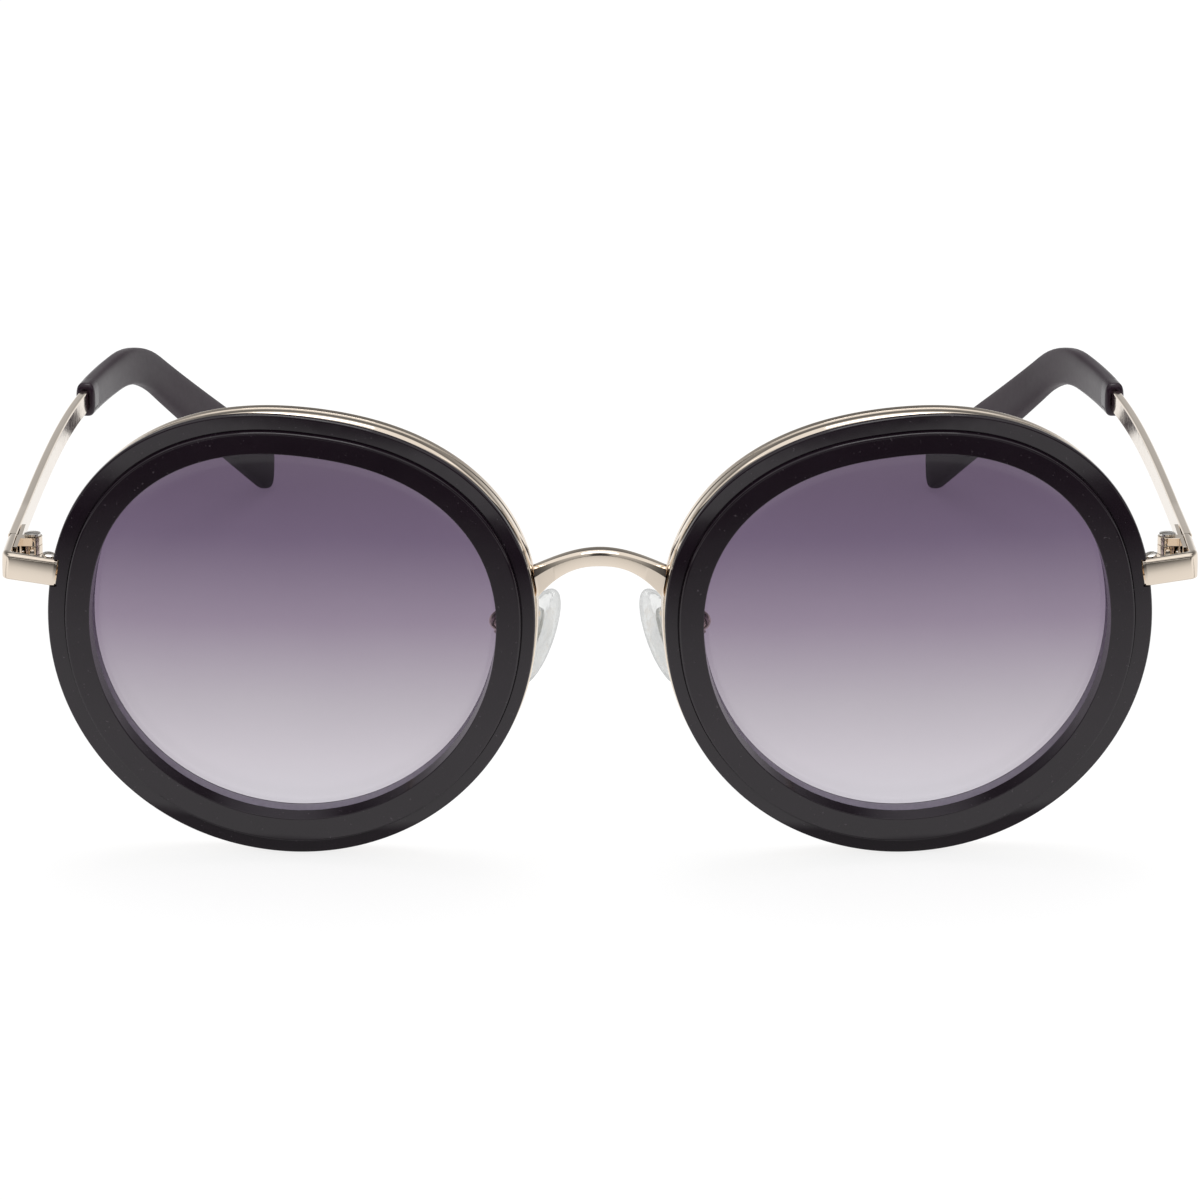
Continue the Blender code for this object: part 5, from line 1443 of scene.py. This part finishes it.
class SUNGLASSES_OT_temple_tips(bpy.types.Operator):
    """Makes the acetate sleeves, which deepen to a rounded end behind the ear"""
    bl_idname = "sunglasses.temple_tips"
    bl_label = "Temple tips"
    dome_steps = 10

    def execute(self, context):
        for name, side in SIDES:
            loops, runs = self.sleeve(side)
            shape = loft(loops)
            mesh = mesh_of(shape, f"tip_sleeve_{name}", hinge_place(side))
            along = mesh.attributes.new("run", "FLOAT", "POINT")
            along.data.foreach_set("value", [run - TIP_START_RUN for run in runs for _ in range(TIP_SIDES)])
            show(f"tip_sleeve_{name}", mesh, "satin_black_acetate", f"temple_{name}", "black_acetate",
                 f"temple_tip_{name}")
        return {"FINISHED"}

    def height_at(self, run):
        """The tip deepens to its bend, and again from there to its end."""
        bend = TEMPLE_BEND_RUN + TEMPLE_BEND_RADIUS * TEMPLE_DROP / 2
        if run < bend:
            share = (run - TIP_START_RUN) / (bend - TIP_START_RUN)
            return TIP_FRONT_HEIGHT + (TIP_BEND_HEIGHT - TIP_FRONT_HEIGHT) * share
        share = (run - bend) / (TEMPLE_LENGTH - bend)
        return TIP_BEND_HEIGHT + (TIP_END_HEIGHT - TIP_BEND_HEIGHT) * share

    def sleeve(self, side):
        """Loops and their runs, from inside the bore, over the rounded front end, to the domed far end."""
        unit = superellipse(TIP_SIDES, TIP_CORNER_POWER)
        runs = []
        loops = []

        def ring(run, thickness, height):
            section = [(x * thickness / 2, z * height / 2) for x, z in unit]
            loops.append(temple_loop(side, run, section))
            runs.append(run)

        bore = (TEMPLE_THICKNESS + 2 * FIT_GAP, TEMPLE_HEIGHT + 2 * FIT_GAP)
        ring(TIP_START_RUN + TIP_BORE_DEPTH, *bore)
        ring(TIP_START_RUN, *bore)
        radius = settings().tips.front_radius
        for step in range(self.dome_steps + 1):
            turn = math.pi / 2 * step / self.dome_steps
            run = TIP_START_RUN + radius * (1 - math.cos(turn))
            inset = 2 * radius * (1 - math.sin(turn))
            ring(run, TIP_THICKNESS - inset * 0.7, self.height_at(run) - inset)
        round_start = TEMPLE_LENGTH - TIP_ROUND_LENGTH
        start = TIP_START_RUN + radius
        for step in range(1, TIP_STATIONS + 1):
            run = start + (round_start - start) * step / TIP_STATIONS
            ring(run, TIP_THICKNESS, self.height_at(run))
        for step in range(1, self.dome_steps + 1):
            turn = TIP_DOME_TURN * step / self.dome_steps
            run = round_start + TIP_ROUND_LENGTH * math.sin(turn)
            inset = TIP_ROUND_LENGTH * (1 - math.cos(turn))
            ring(run, TIP_THICKNESS * math.sqrt(math.cos(turn)), self.height_at(run) - inset)
        return loops, runs


class SUNGLASSES_OT_nose_pads(bpy.types.Operator):
    """Makes the soft clear pads and the stiff cores inside them"""
    bl_idname = "sunglasses.nose_pads"
    bl_label = "Nose pads"

    def execute(self, context):
        for name, side in SIDES:
            soft, stiff = f"soft_pad_{name}", f"stiff_core_{name}"
            obj = new_object(soft, mesh_of(self.pad(side), soft, pad_place(side)))
            smooth = obj.modifiers.new("smooth", "SUBSURF")
            smooth.levels = 2
            smooth.render_levels = 2
            mesh = plain_mesh(obj)
            body = f"nose_pad_{name}"
            show(soft, mesh, "moulded_clear_silicone", body, "clear_silicone", f"nose_pad_{name}")
            core = softened(stiff, f"pad_core_{name}", settings().metal.small_edge)
            show(stiff, core, "moulded_polycarbonate", body, "clear_plastic", f"pad_core_{name}")
        return {"FINISHED"}

    def drop_loop(self, x, width, height):
        """A drop shape, wider below, seen along X."""
        points = []
        for step in range(PAD_STEPS):
            angle = FULL_TURN * step / PAD_STEPS
            z = math.sin(angle)
            y = math.cos(angle) * (1 - PAD_TAPER_SHARE * z)
            points.append(Vector((x, y * width / 2, z * height / 2)))
        return points

    def pad(self, side):
        """From the pocket's floor, out over the back edge and round to the face."""
        to_nose = -side
        pocket = PAD_STANDOFF + PAD_CORE_THICKNESS + FIT_GAP
        width = PAD_CORE_WIDTH + 2 * FIT_GAP
        height = PAD_CORE_HEIGHT + 2 * FIT_GAP
        mouth = PAD_STANDOFF
        loops = [
            self.drop_loop(to_nose * x, width * share, height * share)
            for x, share in ((pocket, 0.1), (pocket, 0.9), (pocket, 1), (mouth, 1), (mouth, 1.04))
        ]
        for deep_share, wide_share in PAD_PROFILE_SHARES:
            x = PAD_STANDOFF + PAD_THICKNESS * deep_share
            loops.append(self.drop_loop(to_nose * x, PAD_WIDTH * wide_share, PAD_HEIGHT * wide_share))
        return loft(loops)


class SUNGLASSES_OT_pad_arms(bpy.types.Operator):
    """Makes the round wires and the boxes that hold the nose pads"""
    bl_idname = "sunglasses.pad_arms"
    bl_label = "Pad arms"

    def execute(self, context):
        for name, side in SIDES:
            mesh = mesh_of(self.arm(side), f"pad_wire_{name}", root_matrix() @ front_matrix())
            show(f"pad_wire_{name}", mesh, "pale_gold_plating", "front", "pale_gold", f"pad_arm_{name}")
            box = softened(f"pad_cheeks_{name}", f"pad_box_{name}", settings().metal.small_edge)
            show(f"pad_cheeks_{name}", box, "pale_gold_plating", "front", "pale_gold", f"pad_box_{name}")
        return {"FINISHED"}

    def arm(self, side):
        """A wire along a Bezier curve, flared at both ends where it is brazed on."""
        grow = (EYEWIRE_INNER + BAND_WIDTH) / 2
        foot = rim_point(side, angle_at(ARM_RISE, grow, nasal=True), grow, EYEWIRE_BACK)
        start = eye_matrix(side) @ foot
        place = (root_matrix() @ front_matrix()).inverted() @ pad_place(side)
        away = place.to_3x3() @ Vector((side, 0, 0))
        stop = place @ Vector((side * (PAD_BOX_BACK + PAD_BOX_WALL), 0, 0))
        first = start + Vector((0, ARM_LEAD_BACK, 0))
        second = stop + away * ARM_LEAD_OUT
        unit = superellipse(ARM_SIDES, 2)
        loops = []
        for step in range(ARM_POINTS):
            share = step / (ARM_POINTS - 1)
            rest = 1 - share
            point = start * rest ** 3 + first * 3 * rest ** 2 * share
            point += second * 3 * rest * share ** 2 + stop * share ** 3
            along = (first - start) * rest ** 2 + (second - first) * 2 * rest * share
            along += (stop - second) * share ** 2
            across = along.cross(Vector((0, 0, 1))).normalized()
            up = across.cross(along).normalized()
            from_end = min((point - start).length, (point - stop).length)
            radius = ARM_RADIUS * (1 + ARM_FOOT_FLARE * math.exp(-from_end / ARM_FOOT_REACH))
            loops.append([point + across * x * radius + up * z * radius for x, z in unit])
        return loft(loops)


class SUNGLASSES_OT_stage(bpy.types.Operator):
    """Sets the pale floor, the soft light and the camera"""
    bl_idname = "sunglasses.stage"
    bl_label = "Stage"

    def execute(self, context):
        stage = settings().stage
        scene = context.scene
        scene.view_settings.view_transform = "Standard"
        self.floor(stage)
        self.world(scene, stage)
        self.lamp("softbox_above", (0, 0.1, 1.1), 0.6, stage.softbox_power)
        self.lamp("fill_left", (1.0, -0.3, 0.7), 0.7, stage.fill_power)
        self.lamp("fill_right", (-1.0, -0.3, 0.7), 0.7, stage.fill_power)
        self.camera(scene, stage)
        return {"FINISHED"}

    def floor(self, stage):
        """A wide floor. Seen straight and through glass it is white with the object's shadow on it. In gloss
        it is a painted reflection of the table: bright behind the glasses, painted shade under them, bright
        before them and then ever darker, up to a bright card that lies in front."""
        shape = bmesh.new()
        bmesh.ops.create_grid(shape, x_segments=8, y_segments=8, size=6)
        below = Matrix.Translation((0, 0, -FLOOR_GAP))
        floor = new_object("pale_floor", mesh_of(shape, "pale_floor", below))
        material, tree, output = new_material("matt_paper_floor")
        place = add(tree, "ShaderNodeTexCoord").outputs["Object"]
        # Fibre clouds of the paper, 40 mm across
        clouds = add(tree, "ShaderNodeTexNoise", {"Vector": place, "Scale": 1 / (40 * MM)})
        fibre = add(tree, "ShaderNodeMix", {
            "Factor": clouds.outputs["Fac"], "A": stage.floor, "B": stage.floor_fibre}, data_type="RGBA")
        paper = add(tree, "ShaderNodeBsdfDiffuse", {"Color": fibre.outputs["Result"]})
        faint = add(tree, "ShaderNodeBsdfDiffuse", {"Color": stage.floor_faint})
        glow = add(tree, "ShaderNodeEmission", {"Color": (1, 1, 1, 1), "Strength": stage.floor_glow})
        seen = add(tree, "ShaderNodeAddShader", {0: faint.outputs["BSDF"], 1: glow.outputs["Emission"]})
        path = add(tree, "ShaderNodeLightPath")
        straight = add(tree, "ShaderNodeMath", {
            0: path.outputs["Is Camera Ray"], 1: path.outputs["Is Transmission Ray"]}, operation="MAXIMUM")
        base = add(tree, "ShaderNodeMixShader", {
            "Fac": straight.outputs["Value"], 1: paper.outputs["BSDF"], 2: seen.outputs["Shader"]})
        parts = add(tree, "ShaderNodeSeparateXYZ", {"Vector": place})
        front, back = -420 * MM, -50 * MM
        along = add(tree, "ShaderNodeMapRange", {
            "Value": parts.outputs["Y"], "From Min": front, "From Max": back})
        table = add(tree, "ShaderNodeValToRGB", {"Fac": along.outputs["Result"]})
        # Millimetres from the origin, and how bright the table's painted reflection is there; the dim stretch
        # just under the glasses is painted shade
        bright = ((-420, 0.15), (-345, 1.0), (-214, 1.0), (-196, 0.2), (-166, 0.05), (-150, 0.1), (-131, 0.5),
                  (-117, 0.8), (-96, 1.0), (-72.6, 1.0), (-71.8, 0.3), (-68, 0.3), (-60, 1.0))
        fill_ramp(table, greys(((y * MM - front) / (back - front), value) for y, value in bright))
        # Gloss sees this painted reflection, with its painted shade, as light that the floor gives off
        painted_table_reflection = add(tree, "ShaderNodeEmission", {"Color": table.outputs["Color"], "Strength": 1.0})
        whole = add(tree, "ShaderNodeMixShader", {
            "Fac": path.outputs["Is Glossy Ray"], 1: base.outputs["Shader"], 2: painted_table_reflection.outputs["Emission"]})
        tree.links.new(whole.outputs["Shader"], output.inputs["Surface"])
        floor.data.materials.append(material)

    def world(self, scene, stage):
        """White where seen straight and even light for matt faces. For gloss it is a room: bright low at the
        back, dark higher up, pale walls in front with a dark camera between them, under a white ceiling."""
        world = bpy.data.worlds.new("studio")
        world.use_nodes = True
        tree = world.node_tree
        tree.nodes.clear()
        direction = add(tree, "ShaderNodeTexCoord").outputs["Generated"]
        parts = add(tree, "ShaderNodeSeparateXYZ", {"Vector": direction})
        back = add(tree, "ShaderNodeValToRGB", {"Fac": parts.outputs["Z"]})
        front = add(tree, "ShaderNodeValToRGB", {"Fac": parts.outputs["Z"]})
        # Sine of the height above the horizon, and how bright the room is there
        back_wall = ((0.0, 0.95), (0.18, 0.56), (0.26, 0.4), (0.34, 0.3), (0.5, 0.16), (0.58, 0.16),
                     (0.66, 0.7), (0.72, 1.0))
        front_wall = ((0.0, 0.1), (0.3, 0.2), (0.5, 0.5), (0.62, 0.7), (0.75, 1.0))
        fill_ramp(back, greys(back_wall))
        fill_ramp(front, greys(front_wall))
        aside = add(tree, "ShaderNodeMath", {0: parts.outputs["X"]}, operation="ABSOLUTE")
        shade = add(tree, "ShaderNodeValToRGB", {"Fac": aside.outputs["Value"]})
        # Share of the direction that points sideways, and how much of the front wall's light comes from there
        across = ((0.0, 0.08), (0.08, 0.15), (0.15, 1.0), (0.42, 1.0), (0.62, 0.3), (1.0, 0.3))
        fill_ramp(shade, greys(across))
        # That shading fades out towards the ceiling
        below = add(tree, "ShaderNodeMapRange", {
            "Value": parts.outputs["Z"], "From Min": 0.62, "From Max": 0.78, "To Min": 1.0, "To Max": 0.0})
        shaded = add(tree, "ShaderNodeMix", {
            "Factor": below.outputs["Result"], "A": front.outputs["Color"], "B": shade.outputs["Color"]},
            data_type="RGBA", blend_type="MULTIPLY")
        # The front wall passes into the back wall at both sides
        turn = add(tree, "ShaderNodeMapRange", {
            "Value": parts.outputs["Y"], "From Min": -0.3, "From Max": 0.3})
        room = add(tree, "ShaderNodeMix", {
            "Factor": turn.outputs["Result"], "A": shaded.outputs["Result"], "B": back.outputs["Color"]},
            data_type="RGBA")
        path = add(tree, "ShaderNodeLightPath")
        matt = add(tree, "ShaderNodeBackground", {"Color": (1, 1, 1, 1), "Strength": stage.ambient})
        gloss = add(tree, "ShaderNodeBackground", {"Color": room.outputs["Result"], "Strength": 1.0})
        white = add(tree, "ShaderNodeBackground", {"Color": (1, 1, 1, 1), "Strength": 1.0})
        lit = add(tree, "ShaderNodeMixShader", {
            "Fac": path.outputs["Is Glossy Ray"], 1: matt.outputs["Background"],
            2: gloss.outputs["Background"]})
        straight = add(tree, "ShaderNodeMath", {
            0: path.outputs["Is Camera Ray"], 1: path.outputs["Is Transmission Ray"]}, operation="MAXIMUM")
        whole = add(tree, "ShaderNodeMixShader", {
            "Fac": straight.outputs["Value"], 1: lit.outputs["Shader"], 2: white.outputs["Background"]})
        add(tree, "ShaderNodeOutputWorld", {"Surface": whole.outputs["Shader"]})
        scene.world = world

    def lamp(self, name, place, size, power):
        light = bpy.data.lights.new(name, "AREA")
        light.shape = "SQUARE"
        light.size = size
        light.energy = power
        lamp = bpy.data.objects.new(name, light)
        bpy.context.scene.collection.objects.link(lamp)
        lamp.location = place
        lamp.rotation_euler = Vector(place).to_track_quat("Z", "Y").to_euler()

    def camera(self, scene, stage):
        """At the photograph's angle, a little above the glasses."""
        tilt = stage.camera_elevation
        reach = stage.camera_distance * Vector((0, -math.cos(tilt), math.sin(tilt)))
        data = bpy.data.cameras.new("camera")
        data.sensor_width = 36
        data.lens = stage.focal_length
        camera = bpy.data.objects.new("camera", data)
        scene.collection.objects.link(camera)
        camera.location = CAMERA_TARGET + reach
        camera.rotation_euler = reach.to_track_quat("Z", "Y").to_euler()
        scene.camera = camera


OPERATORS = (
    SUNGLASSES_OT_acetate_rings,
    SUNGLASSES_OT_eyewires,
    SUNGLASSES_OT_lenses,
    SUNGLASSES_OT_bridge,
    SUNGLASSES_OT_end_pieces,
    SUNGLASSES_OT_hinges,
    SUNGLASSES_OT_screws,
    SUNGLASSES_OT_temple_bars,
    SUNGLASSES_OT_temple_tips,
    SUNGLASSES_OT_nose_pads,
    SUNGLASSES_OT_pad_arms,
    SUNGLASSES_OT_stage,
)


class SUNGLASSES_PT_panel(bpy.types.Panel):
    """Settings and builders of the sunglasses"""
    bl_label = "Round sunglasses"
    bl_space_type = "VIEW_3D"
    bl_region_type = "UI"
    bl_category = "Sunglasses"

    def draw(self, context):
        everything = context.scene.sunglasses
        for group in ("rims", "lenses", "metal", "tips", "pads", "stage"):
            box = self.layout.box()
            values = getattr(everything, group)
            box.label(text=group.capitalize())
            for name in values.__annotations__:
                box.prop(values, name)
        for operator in OPERATORS:
            self.layout.operator(operator.bl_idname)


CLASSES = (
    RimSettings,
    LensSettings,
    MetalSettings,
    TipSettings,
    PadSettings,
    StageSettings,
    SunglassesSettings,
    *OPERATORS,
    SUNGLASSES_PT_panel,
)


def register():
    for item in CLASSES:
        bpy.utils.register_class(item)
    bpy.types.Scene.sunglasses = bpy.props.PointerProperty(
        name="Sunglasses", description="Settings of the sunglasses", type=SunglassesSettings)


def unregister():
    del bpy.types.Scene.sunglasses
    for item in reversed(CLASSES):
        bpy.utils.unregister_class(item)


def main():
    register()
    bpy.ops.sunglasses.acetate_rings()
    bpy.ops.sunglasses.eyewires()
    bpy.ops.sunglasses.lenses()
    bpy.ops.sunglasses.bridge()
    bpy.ops.sunglasses.end_pieces()
    bpy.ops.sunglasses.hinges()
    bpy.ops.sunglasses.screws()
    bpy.ops.sunglasses.temple_bars()
    bpy.ops.sunglasses.temple_tips()
    bpy.ops.sunglasses.nose_pads()
    bpy.ops.sunglasses.pad_arms()
    bpy.ops.sunglasses.stage()


if __name__ == "__main__":
    main()
